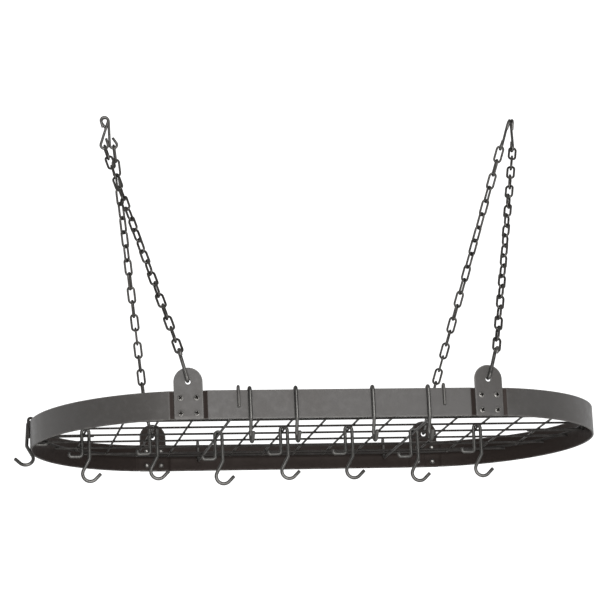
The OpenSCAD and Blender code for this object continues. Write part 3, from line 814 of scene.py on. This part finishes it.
class RACK_OT_screws(bpy.types.Operator):
    """Builds the pan-head screws with their cross recesses and threads, and the nuts behind the straps"""
    bl_idname = "pot_rack.screws"
    bl_label = "Screws and nuts"

    def execute(self, context):
        plan = layout(context)
        for number, (side, face) in enumerate(CORNERS):
            screws, nuts = Shape(), Shape()
            for i, spot in enumerate(at_screws(plan.screw)):
                spin = Matrix.Rotation(math.radians(SCREW_TURN * i + LUG_TURN * number), 4, "X")
                place = plan.lug_frame(side, face) @ spot @ spin
                since = len(screws.points)
                self.screw(screws, plan)
                screws.moved(place, since)
                since = len(nuts.points)
                self.nut(nuts, plan)
                nuts.moved(place, since)
            node = corner_name("screws", side, face)
            screws.piece("zinc_" + node, finish_named(context, "bright_zinc"), "rack", [node], "screw")
            node = corner_name("nuts", side, face)
            nuts.piece("oxide_" + node, finish_named(context, "dark_oxide"), "rack", [node], "nut")
        return {"FINISHED"}

    def screw(self, shape, plan, around=48):
        """A screw along X: its head outside, its shank and thread inwards."""
        shank = self.shank(plan, around)
        head, wear_and_highlight_marks, dark = self.head(plan.screw, around)
        lead = len(shank)
        shape.skin(shank + head, worn=lambda i, j: wear_and_highlight_marks[i - lead][j] if i >= lead else 0.3,
                   inside=lambda i, j: dark[i - lead][j] if i >= lead else 0.0)

    @staticmethod
    def shank(plan, around, steps=60):
        """Rings of the threaded shank from its tip to the head's underside."""
        s = plan.screw
        head_r, shank_r = s["head_d"] / 2, s["screw_d"] / 2
        thread_end = -plan.ring["lug_t"] - plan.ring["strap_t"]
        full = plan.ring["lug_t"] + plan.ring["strap_t"] + s["nut_h"] + PAST_NUT
        rings = []
        for i in range(steps + 1):
            x = -full + (full + WELD) * i / steps
            tip = TIP_DEEP * max(0.0, 1 - (x + full) / TIP_LONG)
            circle = []
            for j in range(around):
                a = 2 * math.pi * j / around
                phase = (x / s["pitch"] + j / around) % 1.0
                groove = THREAD_DEEP * abs(2 * phase - 1)
                r = shank_r - groove - tip if x < thread_end else shank_r - SHANK_SLACK
                circle.append(Vector((x, r * math.cos(a), r * math.sin(a))))
            rings.append(circle)
        rings.append([Vector((WELD, p.y / shank_r * head_r * 0.97, p.z / shank_r * head_r * 0.97))
                      for p in rings[-1]])
        return rings

    @staticmethod
    def head(s, around, count=22):
        """Rings of the pan head from its rim to its middle, with each point's bright rim tone, a painted
        highlight, and painted shade in the recess.
        """
        head_r, head_h = s["head_d"] / 2, s["head_h"]
        rim_h = HEAD_RIM * head_h
        dome_h = head_h - rim_h
        dome_r = (head_r ** 2 + dome_h ** 2) / (2 * dome_h)
        arm, wide, deep = RECESS_ARM * s["head_d"], RECESS_WIDE * s["head_d"], RECESS_DEEP * head_h

        def dome(r):
            """Height of the head at a radius, before its recess."""
            return WELD + head_h - dome_r + math.sqrt(max(dome_r ** 2 - r * r, 0.0))

        def recess(y, z):
            """How deep the cross recess is: flat inside its arms, with short slopes."""
            across = max(abs(y) - arm, abs(z) - wide), max(abs(z) - arm, abs(y) - wide)
            return deep * min(1.0, max(0.0, 0.5 - min(across) / RECESS_SLOPE))

        rings, wear_and_highlight_marks, dark = [], [], []
        for i in range(count + 1):
            r = head_r * (1 - 0.985 * i / count)
            circle, sunk_here = [], []
            for j in range(around):
                a = 2 * math.pi * j / around
                y, z = r * math.cos(a), r * math.sin(a)
                sunk = recess(y, z)
                circle.append(Vector((dome(r) - sunk, y, z)))
                # Painted shade in the cross recess, darkest where it is deepest.
                sunk_here.append(min(1.0, sunk / deep * 1.2))
            rings.append(circle)
            # The head's rim takes the bright edge tone as a painted highlight.
            wear_and_highlight_marks.append([1.0 if i == 0 else 0.0] * around)
            dark.append(sunk_here)
        return rings, wear_and_highlight_marks, dark

    @staticmethod
    def nut(shape, plan, around=72):
        """A chamfered hexagon nut behind the strap, its hole along X."""
        s = plan.screw
        flat = s["nut_w"] / 2
        back = -plan.pad_v - plan.ring["strap_t"] - WELD
        hole = s["screw_d"] / 2 + NUT_SLACK
        mouth = hole + NUT_LEAD_WIDE
        face_r = NUT_FACE * flat

        def corner(a):
            """Radius of the hexagon at an angle."""
            return flat / math.cos((a + math.pi / 6) % (math.pi / 3) - math.pi / 6)

        def at(radius_of, depth_of):
            """A ring of the nut, from its radius and its depth at each angle."""
            points = []
            for j in range(around):
                a = 2 * math.pi * j / around
                points.append(Vector((back - depth_of(a), radius_of(a) * math.cos(a),
                                      radius_of(a) * math.sin(a))))
            return points

        def slope(a):
            """Height of the chamfer under a corner."""
            return (corner(a) - face_r) * math.tan(math.radians(30))

        rings = [
            at(lambda a: hole, lambda a: NUT_LEAD_DEEP), at(lambda a: mouth, lambda a: 0.0),
            at(lambda a: min(corner(a), 1.02 * flat), lambda a: 0.0),
            at(corner, lambda a: 0.6 * slope(a)), at(corner, lambda a: s["nut_h"] - slope(a)),
            at(lambda a: face_r, lambda a: s["nut_h"]), at(lambda a: mouth, lambda a: s["nut_h"]),
            at(lambda a: hole, lambda a: s["nut_h"] - NUT_LEAD_DEEP),
        ]
        count = len(rings)
        start = len(shape.points)
        shape.skin(rings, worn=lambda i, j: 0.8 if i in (3, 4, 5) else 0.0, caps=False)
        last = start + (count - 1) * around
        for j in range(around):
            k = (j + 1) % around
            shape.faces.append((last + j, last + k, start + k, start + j))


# ---------------------------------------------------------------- grid

# Weld beads, by their radii along X, Y and Z: at a cross wire's end, at a crossing, where a long wire
# passes the edge wire, and on a support rod. A cross wire's end bead sits a little low, and a crossing
# close to the edge wire has no bead of its own.
END_BEAD = (2.3, 1.5, 1.6)
CROSSING_BEAD = (1.5, 1.5, 0.8)
EDGE_BEAD = (1.7, 1.7, 0.9)
ROD_BEAD = (1.8, 1.8, 0.8)
END_BEAD_LOW = 0.4
CLEAR_OF_EDGE = 4


class RACK_OT_grid(bpy.types.Operator):
    """Builds the welded grid: its edge wire, cross wires, long wires, support rods and end hangers"""
    bl_idname = "pot_rack.grid"
    bl_label = "Grid"

    def execute(self, context):
        plan = layout(context)
        grid = plan.grid
        middle = plan.at_ring @ shift(grid["shift"], 0, 0)

        def make(shape, node, matrix, finish="wire_coat"):
            shape.moved(matrix)
            shape.piece("coated_" + node, finish_named(context, finish), "grid", [node], "wire")

        # Wires along the ring take the darker wire coat as painted shade; cross wires and rods take the
        # lighter one as a painted highlight.
        make(self.edge_wire(plan), "grid_edge_wire", middle)
        make(self.cross_wires(plan), "grid_cross_wires", middle, "rod_coat")
        make(self.long_wires(plan), "grid_long_wires", middle)
        for side in (LEFT, RIGHT):
            place = middle @ shift(side * grid["rod_at"] * grid["cross_pitch"], 0, 0)
            make(self.support_rod(plan), "support_rod_" + SIDE_NAMES[side], place, "rod_coat")
        for side in (LEFT, RIGHT):
            make(self.end_hanger(plan, side), "end_hanger_" + SIDE_NAMES[side], plan.at_ring)
        return {"FINISHED"}

    @staticmethod
    def edge_wire(plan, arc_pieces=48):
        """The oval wire round the grid."""
        line = []
        for start, x in ((-90, plan.end_x), (90, -plan.end_x)):
            for i in range(arc_pieces + 1):
                a = math.radians(start + 180 * i / arc_pieces)
                line.append(Vector((x + plan.edge_r * math.cos(a), plan.edge_r * math.sin(a), plan.edge_z)))
        wire = Shape()
        tube(wire, line, plan.rod_r, closed=True)
        return wire

    @staticmethod
    def cross_wires(plan):
        """The wires across the grid, butted against the inside of the edge wire."""
        grid = plan.grid
        butt_r = plan.edge_r - plan.rod_r - WELD
        wires = Shape()
        for i in plan.crossings:
            x = i * grid["cross_pitch"]
            out = max(0.0, abs(x) + plan.wire_r - plan.end_x)
            reach = math.sqrt(butt_r ** 2 - out ** 2)
            line = [Vector((x, y, grid["height"])) for y in (-reach, -0.5 * reach, 0.5 * reach, reach)]
            tube(wires, line, plan.wire_r)
            for y in (-reach, reach):
                bead(wires, (x, y, grid["height"] - END_BEAD_LOW), END_BEAD)
        return wires

    @staticmethod
    def long_wires(plan):
        """The wires along the grid, welded under the cross wires and the edge wire."""
        grid = plan.grid
        wires = Shape()
        for i in range(-grid["long_n"], grid["long_n"] + 1):
            y = i * grid["long_pitch"]
            edge_x = plan.end_x + math.sqrt(plan.edge_r ** 2 - y ** 2)
            reach = edge_x + grid["past"]
            line = [Vector((x, y, plan.long_z)) for x in (-reach, -0.5 * reach, 0.5 * reach, reach)]
            tube(wires, line, plan.wire_r)
            for j in plan.crossings:
                x = j * grid["cross_pitch"]
                if abs(x) < edge_x - CLEAR_OF_EDGE:
                    bead(wires, (x, y, plan.long_z + plan.wire_r + WELD / 2), CROSSING_BEAD)
            for x in (-edge_x, edge_x):
                bead(wires, (x, y, plan.long_z + plan.wire_r), EDGE_BEAD)
        return wires

    @staticmethod
    def support_rod(plan):
        """A rod across under the long wires, bent up at both ends and over the rims."""
        grid = plan.grid
        rise = plan.rim_arc_z - plan.rod_z - grid["rod_bend"]
        span = 2 * (plan.mid_r - plan.rim_bend - grid["rod_bend"])
        steps = [(plan.rim_leg, -180, plan.rim_bend), (rise, 90, grid["rod_bend"]),
                 (span, 90, grid["rod_bend"]), (rise, -180, plan.rim_bend), (plan.rim_leg, 0, 0)]
        rod = Shape()
        tube(rod, bent_path(steps), plan.rod_r)
        rod.moved(turn_z(90) @ UPRIGHT
                  @ shift(-plan.mid_r - plan.rim_bend, plan.rim_arc_z - plan.rim_leg, 0) @ turn_z(90))
        for i in range(-grid["long_n"], grid["long_n"] + 1):
            bead(rod, (0, i * grid["long_pitch"], plan.rod_z + plan.rod_r), ROD_BEAD)
        return rod

    @staticmethod
    def end_hanger(plan, side):
        """A hanger over a round end of the ring, its foot under the grid beside the middle long wire."""
        grid = plan.grid
        hanger_y = plan.wire_r + plan.rod_r + WELD
        hanger_z = plan.edge_z - grid["rod_d"] - WELD
        rise = plan.rim_arc_z - hanger_z - grid["hanger_bend"]
        steps = [(plan.rim_leg, -180, plan.rim_bend), (rise, 90, grid["hanger_bend"]),
                 (grid["hanger_run"], 0, 0)]
        hanger = Shape()
        tube(hanger, bent_path(steps), plan.rod_r)
        hanger.moved(shift(-plan.end_x - plan.mid_r - plan.rim_bend, hanger_y, 0) @ UPRIGHT
                     @ shift(0, plan.rim_arc_z - plan.rim_leg, 0) @ turn_z(90))
        if side == RIGHT:
            hanger.moved(Matrix.Diagonal((-1, 1, 1, 1)))
        return hanger


# ---------------------------------------------------------------- pan hooks

# Each hook on the grid: the cross wire or rod it hangs on, counted from the middle, and its place
# along it in millimetres.
GRID_HOOKS = [(-7, -11), (-5, -27), (-3, -10), (-1, -9), (1, -5), (3, -10), (5, -5)]
# Each rim hook's place along the front rim, in millimetres from the ring's middle.
RIM_HOOKS = [-140, -69, 50.5, 137.5]
BOWL_TURN = 135      # turn of a hook's J, in degrees past straight down
HOOK_ARC_STEP = 9.0  # degrees of bend to a piece


class RACK_OT_pan_hooks(bpy.types.Operator):
    """Builds the loose pan hooks on the grid, over the front rim and on the ring's left end"""
    bl_idname = "pot_rack.pan_hooks"
    bl_label = "Pan hooks"

    def execute(self, context):
        plan = layout(context)
        hook, grid, ring = plan.hook, plan.grid, plan.ring
        finish = finish_named(context, "hook_coat")

        def make(node, matrix):
            shape = Shape()
            tube(shape, self.path(plan), (hook["wire_d"] + hook["stout"]) / 2)
            shape.moved(matrix)
            shape.piece("coated_" + node, finish, node, [node], "hook")

        for i, (wire, y) in enumerate(GRID_HOOKS):
            x = grid["shift"] + wire * grid["cross_pitch"]
            seat = plan.on_rod if abs(wire) == grid["rod_at"] else plan.on_wire
            make("pot_hook_%d" % (i + 1), plan.at_ring @ shift(x, y, seat) @ UPRIGHT)
        for i, x in enumerate(RIM_HOOKS):
            make("rim_hook_%d" % (i + 1),
                 plan.at_ring @ shift(x, -plan.mid_r, plan.on_rim) @ turn_z(-90) @ UPRIGHT)
        apex = plan.on_rim + plan.leg_x - ring["strap_h"]
        lean = hook["end_lean"]
        make("end_hook", plan.at_ring @ shift(-plan.end_x, 0, ring["strap_h"])
             @ turn_z(180 - math.degrees(hook["end_turn"])) @ shift(plan.mid_r - hook["end_inset"], 0, 0)
             @ Matrix.Rotation(lean, 4, "X") @ shift(0, 0, apex / math.cos(lean) + SEAT)
             @ Matrix.Rotation(-hook["end_tilt"], 4, "Y") @ shift(0, 0, -plan.leg_x) @ UPRIGHT)
        return {"FINISHED"}

    @staticmethod
    def path(plan):
        """A pan hook's line, its bend round the origin and its J towards +X."""
        hook = plan.hook
        wire, bowl, set_bend, back = hook["wire_d"], hook["bowl_r"], hook["set_bend"], hook["set_back"]
        slant = (2 * plan.leg_x - (set_bend + bowl) * (1 - math.cos(back))) / math.sin(back)
        shank = (hook["full_l"] - plan.leg_x - wire - set_bend * math.sin(back) - slant * math.cos(back)
                 - bowl * (1 + math.sin(back)))
        short = hook["short_l"] - plan.leg_x - wire - hook["foot_bend"]
        foot = hook["foot_l"] - wire / 2 - hook["foot_bend"] - hook["up_bend"]
        start = Vector((-plan.leg_x - hook["foot_bend"] - foot - hook["up_bend"],
                        -short - hook["foot_bend"] + hook["up_bend"] + hook["foot_up"], 0))
        turn = math.degrees(back)
        steps = [(hook["foot_up"], 90, hook["up_bend"]), (foot, 90, hook["foot_bend"]),
                 (short, -180, plan.leg_x), (shank, -turn, set_bend), (slant, BOWL_TURN + turn, bowl),
                 (hook["tip"], 0, 0)]
        place = Matrix.Translation(start) @ turn_z(-90)
        return [place @ point for point in bent_path(steps, HOOK_ARC_STEP)]


# ---------------------------------------------------------------- chains and their hooks

# How far each ceiling hook's foot leans to the right, in degrees.
EYE_LEANS = {(LEFT, FRONT): -2.0, (LEFT, REAR): 17.5, (RIGHT, FRONT): -3.0, (RIGHT, REAR): -20.0}
# A lower hook's straight ends, in the lug and past its closed loop, and that loop's turn in degrees.
LOWER_START = 9
LOWER_END = 3
LOWER_TURN = 200
UPPER_END_GAP = 0.8  # from a ceiling hook's cut ends to the wire that crosses them
TWIST_CURVE = 1.5    # power by which a chain's twist grows from its foot to its top
# A link's weld seam: places along its side in millimetres, and the width of its wire there.
LINK_SEAM = ((1.6, 1.0), (0.9, 0.97), (0.45, 1.03), (0.0, 1.05), (-0.45, 1.03), (-0.9, 0.97), (-1.6, 1.0))


class Hanging:
    """The places of one corner's chain, upper hook and lower hook."""

    def __init__(self, plan, side, face):
        chain = plan.chain
        self.plan, self.side, self.face = plan, side, face
        self.lean = math.radians(EYE_LEANS[(side, face)])
        pair_gap = chain["s_wire"] / 2 + SEAT
        hang_x = chain["hang_span"] / 2
        self.bearing = (Vector((-hang_x, face * pair_gap, 0)) if side == LEFT
                        else Vector((hang_x - face * pair_gap, 0, 0)))
        self.eye = self.bearing + plan.loop_drop * Vector((math.sin(self.lean), 0, -math.cos(self.lean)))
        self.eye_square = (Vector((0, 1, 0)) if side == LEFT
                           else Vector((math.cos(self.lean), 0, math.sin(self.lean))))
        hole = plan.hole_at(side, face)
        along = plan.along_dir(side, face)
        out = plan.out_dir(side, face)
        to_eye = self.eye - hole
        self.turn = math.atan2(-to_eye.dot(along), to_eye.z)
        up = Vector((0, 0, math.cos(self.turn))) - math.sin(self.turn) * along
        lean, loop, shank = plan.lower_lean, chain["s_loop"], chain["s_shank"]
        top = (2 * loop * math.cos(lean) - shank * math.sin(lean),
               plan.lower_y + 2 * loop * math.sin(lean) + shank * math.cos(lean))
        self.hole = hole
        self.lower_loop = hole + top[0] * out + top[1] * up
        self.lower_square = out.cross(up)
        self.pull = (self.lower_loop - self.eye).normalized()

    @staticmethod
    def in_plane(pull, square):
        """The pull's direction within a loop's own plane."""
        return (pull - pull.dot(square) * square).normalized()

    def crown(self, middle, square, pull, gap):
        """Where the end link's wire sits in a loop of wire round a middle."""
        chain = self.plan.chain
        return (middle + chain["s_loop"] * self.in_plane(pull, square)
                - ((chain["s_wire"] + chain["link_d"]) / 2 + gap) * pull)


class RACK_OT_chains(bpy.types.Operator):
    """Builds the four chains link by link, the hooks in the lugs and the closed hooks at the ceiling"""
    bl_idname = "pot_rack.chains"
    bl_label = "Chains and their hooks"

    def execute(self, context):
        plan = layout(context)
        for side, face in CORNERS:
            hanging = Hanging(plan, side, face)
            for kind, shape, finish, body, slot in (
                    ("chain", self.links(plan, hanging), "chain_coat", "rack", "chain"),
                    ("lower_hook", self.lower_hook(plan, hanging), "hook_coat", "rack", "hook"),
                    ("upper_hook", self.upper_hook(plan, hanging), "hook_coat", "hangers", "hook")):
                node = corner_name(kind, side, face)
                shape.piece("coated_" + node, finish_named(context, finish), body, [node], slot)
        return {"FINISHED"}

    @staticmethod
    def lower_hook(plan, hanging):
        """A hook through a lug's hole, with a closed loop in the chain's last link."""
        chain = plan.chain
        loop = chain["s_loop"]
        steps = [(LOWER_START, 180 + math.degrees(plan.lower_lean), loop),
                 (chain["s_shank"], -LOWER_TURN, loop), (LOWER_END, 0, 0)]
        hook = Shape()
        tube(hook, bent_path(steps), (chain["s_wire"] + chain["s_stout"]) / 2)
        hook.moved(Matrix.Translation(hanging.hole)
                   @ Matrix.Rotation(plan.out_turn(hanging.side, hanging.face), 4, "Z")
                   @ Matrix.Rotation(hanging.turn, 4, "X") @ UPRIGHT
                   @ shift(-loop, plan.lower_y + LOWER_START, 0) @ turn_z(-90))
        return hook

    @staticmethod
    def upper_hook(plan, hanging):
        """A closed hook of two loops, whose cut ends stop short of the wire that crosses them."""
        chain = plan.chain
        loop, wire_r = chain["s_loop"], chain["s_wire"] / 2
        cross = math.degrees(plan.s_cross)
        diagonal = math.sqrt(plan.s_half ** 2 - loop ** 2)
        start = (chain["s_wire"] + UPPER_END_GAP) / math.sin(2 * plan.s_cross)
        steps = [(diagonal - start, -180 - 2 * cross, loop), (2 * diagonal, 180 + 2 * cross, loop),
                 (diagonal - start, 0, 0)]
        hook = Shape()
        tube(hook, bent_path(steps), wire_r)
        hook.moved(Matrix.Translation(hanging.bearing) @ Matrix.Rotation(-hanging.lean, 4, "Y")
                   @ turn_z(90 if hanging.side == RIGHT else 0)
                   @ shift(0, 0, wire_r - loop - plan.s_half) @ UPRIGHT
                   @ turn_z(90 + cross) @ shift(start, 0, 0))
        return hook

    def links(self, plan, hanging):
        """Every link a quarter turn from the last, with the chain's twist wound in towards its top."""
        chain = plan.chain
        top = hanging.crown(hanging.eye, hanging.eye_square, hanging.pull, EYE_SEAT)
        foot = hanging.crown(hanging.lower_loop, hanging.lower_square, -hanging.pull, SEAT)
        line = foot - top
        down = line.normalized()
        polar = math.acos(-down.z)
        azimuth = math.atan2(-down.y, -down.x)
        count = round((line.length - chain["link_d"] - WELD) / chain["link_pitch"])
        pitch = (line.length - chain["link_d"] - WELD) / count
        reach = pitch + chain["link_d"] + WELD

        def flat_roll(square):
            """The roll about the chain, in degrees, at which a link lies square to a direction."""
            over = Vector((math.cos(polar) * math.cos(azimuth), math.cos(polar) * math.sin(azimuth),
                           -math.sin(polar)))
            across = Vector((-math.sin(azimuth), math.cos(azimuth), 0))
            return math.degrees(math.atan2(-square.dot(over), square.dot(across)))

        top_roll = flat_roll(hanging.eye_square.cross(hanging.in_plane(hanging.pull, hanging.eye_square)))
        foot_roll = flat_roll(hanging.lower_square.cross(
            hanging.in_plane(-hanging.pull, hanging.lower_square)))
        rest = foot_roll - 90 * (count - 1) - top_roll
        rest -= 180 * math.floor(rest / 180 + 0.5)
        twist = rest + (180 if rest < 0 else -180) if hanging.side == LEFT else rest
        shape = Shape()
        for i in range(count):
            since = len(shape.points)
            self.link(shape, plan, reach)
            place = top + down * (reach / 2 + (count - 1 - i) * pitch)
            roll = foot_roll - 90 * i - twist * (i / (count - 1)) ** TWIST_CURVE
            shape.moved(Matrix.Translation(place) @ turn_z(math.degrees(azimuth))
                        @ Matrix.Rotation(polar, 4, "Y") @ turn_z(roll) @ UPRIGHT, since)
        return shape

    @staticmethod
    def link(shape, plan, reach, arc_pieces=12):
        """A link in the XY plane, its long way along Y, with a weld seam on one side."""
        r = plan.link_r
        run = reach - 2 * r
        line, swell = [], []

        def bend(start, middle_y):
            for i in range(arc_pieces + 1):
                a = math.pi * (start + i / arc_pieces)
                line.append(Vector((r * math.cos(a), middle_y + r * math.sin(a), 0)))
                swell.append(1.0)

        bend(0, run / 2)
        for y, width in LINK_SEAM:
            line.append(Vector((-r, y, 0)))
            swell.append(width)
        bend(1, -run / 2)
        tube(shape, line, plan.chain["link_d"] / 2, closed=True, sides=LINK_SIDES, swell=swell)


# ---------------------------------------------------------------- stage

# Where the camera stands, in metres from the hanging points' midpoint, and its turns in radians.
CAMERA_AT = (-0.77798, -4.20731, -1.27863)
CAMERA_YAW, CAMERA_PITCH, CAMERA_ROLL = -0.1759, 0.2238, -0.0441
# Each lamp: its name, its place and width in metres, and the setting that holds its power.
LAMPS = [
    ("key_lamp", (0.1, -3.9, -0.4), 1.8, "key"),
    ("fill_lamp", (4.0, 0.8, 0.2), 2.0, "fill"),
    ("under_lamp", (-0.6, -2.4, -1.9), 1.6, "under"),
]
LAMP_AIM = (0.0, 0.0, -0.5)
SENSOR_WIDTH = 36.0  # of the camera, in millimetres
FARTHEST = 60.0      # that the camera sees, in metres
FLOOR_HALF = 30.0
# The surround brightens between these values of its Y, from in front of the rack to behind it.
SURROUND_FRONT, SURROUND_BACK = -0.25, 0.75


class RACK_OT_stage(bpy.types.Operator):
    """Sets the camera at the photograph's angle, with soft lamps, a pale floor and a white surround"""
    bl_idname = "pot_rack.stage"
    bl_label = "Stage"

    def execute(self, context):
        stage = context.scene.pot_rack_stage
        self.camera(context, stage)
        self.surround(context, stage)
        for name, place, width, setting in LAMPS:
            self.lamp(context, name, place, width, getattr(stage, setting))
        self.floor(context, stage)
        context.scene.view_settings.view_transform = "Standard"
        return {"FINISHED"}

    @staticmethod
    def camera(context, stage):
        """The camera at the photograph's viewpoint, with its long lens."""
        yaw, pitch, roll = CAMERA_YAW, CAMERA_PITCH, CAMERA_ROLL
        right = Vector((math.cos(yaw), math.sin(yaw), 0))
        ahead = Vector((-math.sin(yaw), math.cos(yaw), 0))
        up = Vector((0, 0, 1))
        look = ahead * math.cos(pitch) + up * math.sin(pitch)
        top = up * math.cos(pitch) - ahead * math.sin(pitch)
        across = right * math.cos(roll) + top * math.sin(roll)
        top = top * math.cos(roll) - right * math.sin(roll)
        lens = bpy.data.cameras.new("photo_camera")
        lens.lens = stage.focal
        lens.sensor_width = SENSOR_WIDTH
        lens.sensor_fit = "HORIZONTAL"
        lens.clip_end = FARTHEST
        camera = bpy.data.objects.new("photo_camera", lens)
        turn = Matrix((across, top, -look)).transposed().to_4x4()
        camera.matrix_world = Matrix.Translation(CAMERA_AT) @ turn
        context.scene.collection.objects.link(camera)
        context.scene.camera = camera

    @staticmethod
    def lamp(context, name, place, width, power):
        """A square lamp that faces the rack."""
        lamp = bpy.data.lights.new(name, "AREA")
        lamp.shape = "SQUARE"
        lamp.size = width
        lamp.energy = power
        lamp_object = bpy.data.objects.new(name, lamp)
        lamp_object.location = place
        aim = Vector(LAMP_AIM) - Vector(place)
        lamp_object.rotation_euler = aim.to_track_quat("-Z", "Y").to_euler()
        context.scene.collection.objects.link(lamp_object)

    @staticmethod
    def surround(context, stage):
        """A surround that is white to the camera, soft in front of the rack and bright behind it."""
        world = bpy.data.worlds.new("soft_surround")
        world.use_nodes = True
        context.scene.world = world
        tree = world.node_tree
        back = tree.nodes["Background"]
        back.inputs["Color"].default_value = (1.0, 1.0, 1.0, 1.0)
        rays = tree.nodes.new("ShaderNodeLightPath")
        place = tree.nodes.new("ShaderNodeTexCoord")
        split = tree.nodes.new("ShaderNodeSeparateXYZ")
        level = tree.nodes.new("ShaderNodeMapRange")
        level.inputs["From Min"].default_value = SURROUND_FRONT
        level.inputs["From Max"].default_value = SURROUND_BACK
        level.inputs["To Min"].default_value = stage.ambient
        level.inputs["To Max"].default_value = stage.backdrop
        most = tree.nodes.new("ShaderNodeMath")
        most.operation = "MAXIMUM"
        tree.links.new(place.outputs["Generated"], split.inputs[0])
        tree.links.new(split.outputs["Y"], level.inputs["Value"])
        tree.links.new(level.outputs[0], most.inputs[0])
        tree.links.new(rays.outputs["Is Camera Ray"], most.inputs[1])
        tree.links.new(most.outputs[0], back.inputs["Strength"])

    @staticmethod
    def floor(context, stage):
        """A wide, pale floor under the rack."""
        mesh = bpy.data.meshes.new("pale_floor")
        corners = [(x * FLOOR_HALF, y * FLOOR_HALF, stage.floor_z)
                   for x, y in ((-1, -1), (1, -1), (1, 1), (-1, 1))]
        mesh.from_pydata(corners, [], [(0, 1, 2, 3)])
        paint = bpy.data.materials.new("pale_floor")
        paint.use_nodes = True
        shader = paint.node_tree.nodes["Principled BSDF"]
        shader.inputs["Base Color"].default_value = colour_of(stage, "floor_tone")
        shader.inputs["Roughness"].default_value = 0.9
        mesh.materials.append(paint)
        floor = bpy.data.objects.new("pale_floor", mesh)
        context.scene.collection.objects.link(floor)


class RACK_PT_panel(bpy.types.Panel):
    """Lists the rack's sizes and the steps that build it"""
    bl_idname = "RACK_PT_panel"
    bl_label = "Pot rack"
    bl_space_type = "VIEW_3D"
    bl_region_type = "UI"
    bl_category = "Pot rack"

    def draw(self, context):
        for step in STEPS:
            self.layout.operator(step.bl_idname, text=step.bl_label)
        for label in GROUPS:
            group = getattr(context.scene, label)
            box = self.layout.box()
            box.label(text=GROUPS[label].__name__)
            for prop in group.bl_rna.properties:
                if prop.identifier not in ("rna_type", "name"):
                    box.prop(group, prop.identifier)


GROUPS = {
    "pot_rack_ring": RingSizes, "pot_rack_screws": ScrewSizes, "pot_rack_grid": GridSizes,
    "pot_rack_hooks": HookSizes, "pot_rack_chains": ChainSizes, "pot_rack_finishes": Finishes,
    "pot_rack_stage": StageSettings,
}
STEPS = [RACK_OT_stage, RACK_OT_straps, RACK_OT_lugs, RACK_OT_screws, RACK_OT_grid, RACK_OT_pan_hooks,
         RACK_OT_chains]


def register():
    for group in GROUPS.values():
        bpy.utils.register_class(group)
    for label, group in GROUPS.items():
        setattr(bpy.types.Scene, label, bpy.props.PointerProperty(type=group))
    for step in STEPS + [RACK_PT_panel]:
        bpy.utils.register_class(step)


def unregister():
    for step in reversed(STEPS + [RACK_PT_panel]):
        bpy.utils.unregister_class(step)
    for label in reversed(list(GROUPS)):
        delattr(bpy.types.Scene, label)
    for group in reversed(list(GROUPS.values())):
        bpy.utils.unregister_class(group)


def main():
    register()
    for step in STEPS:
        group, name = step.bl_idname.split(".")
        getattr(getattr(bpy.ops, group), name)()


if __name__ == "__main__":
    main()
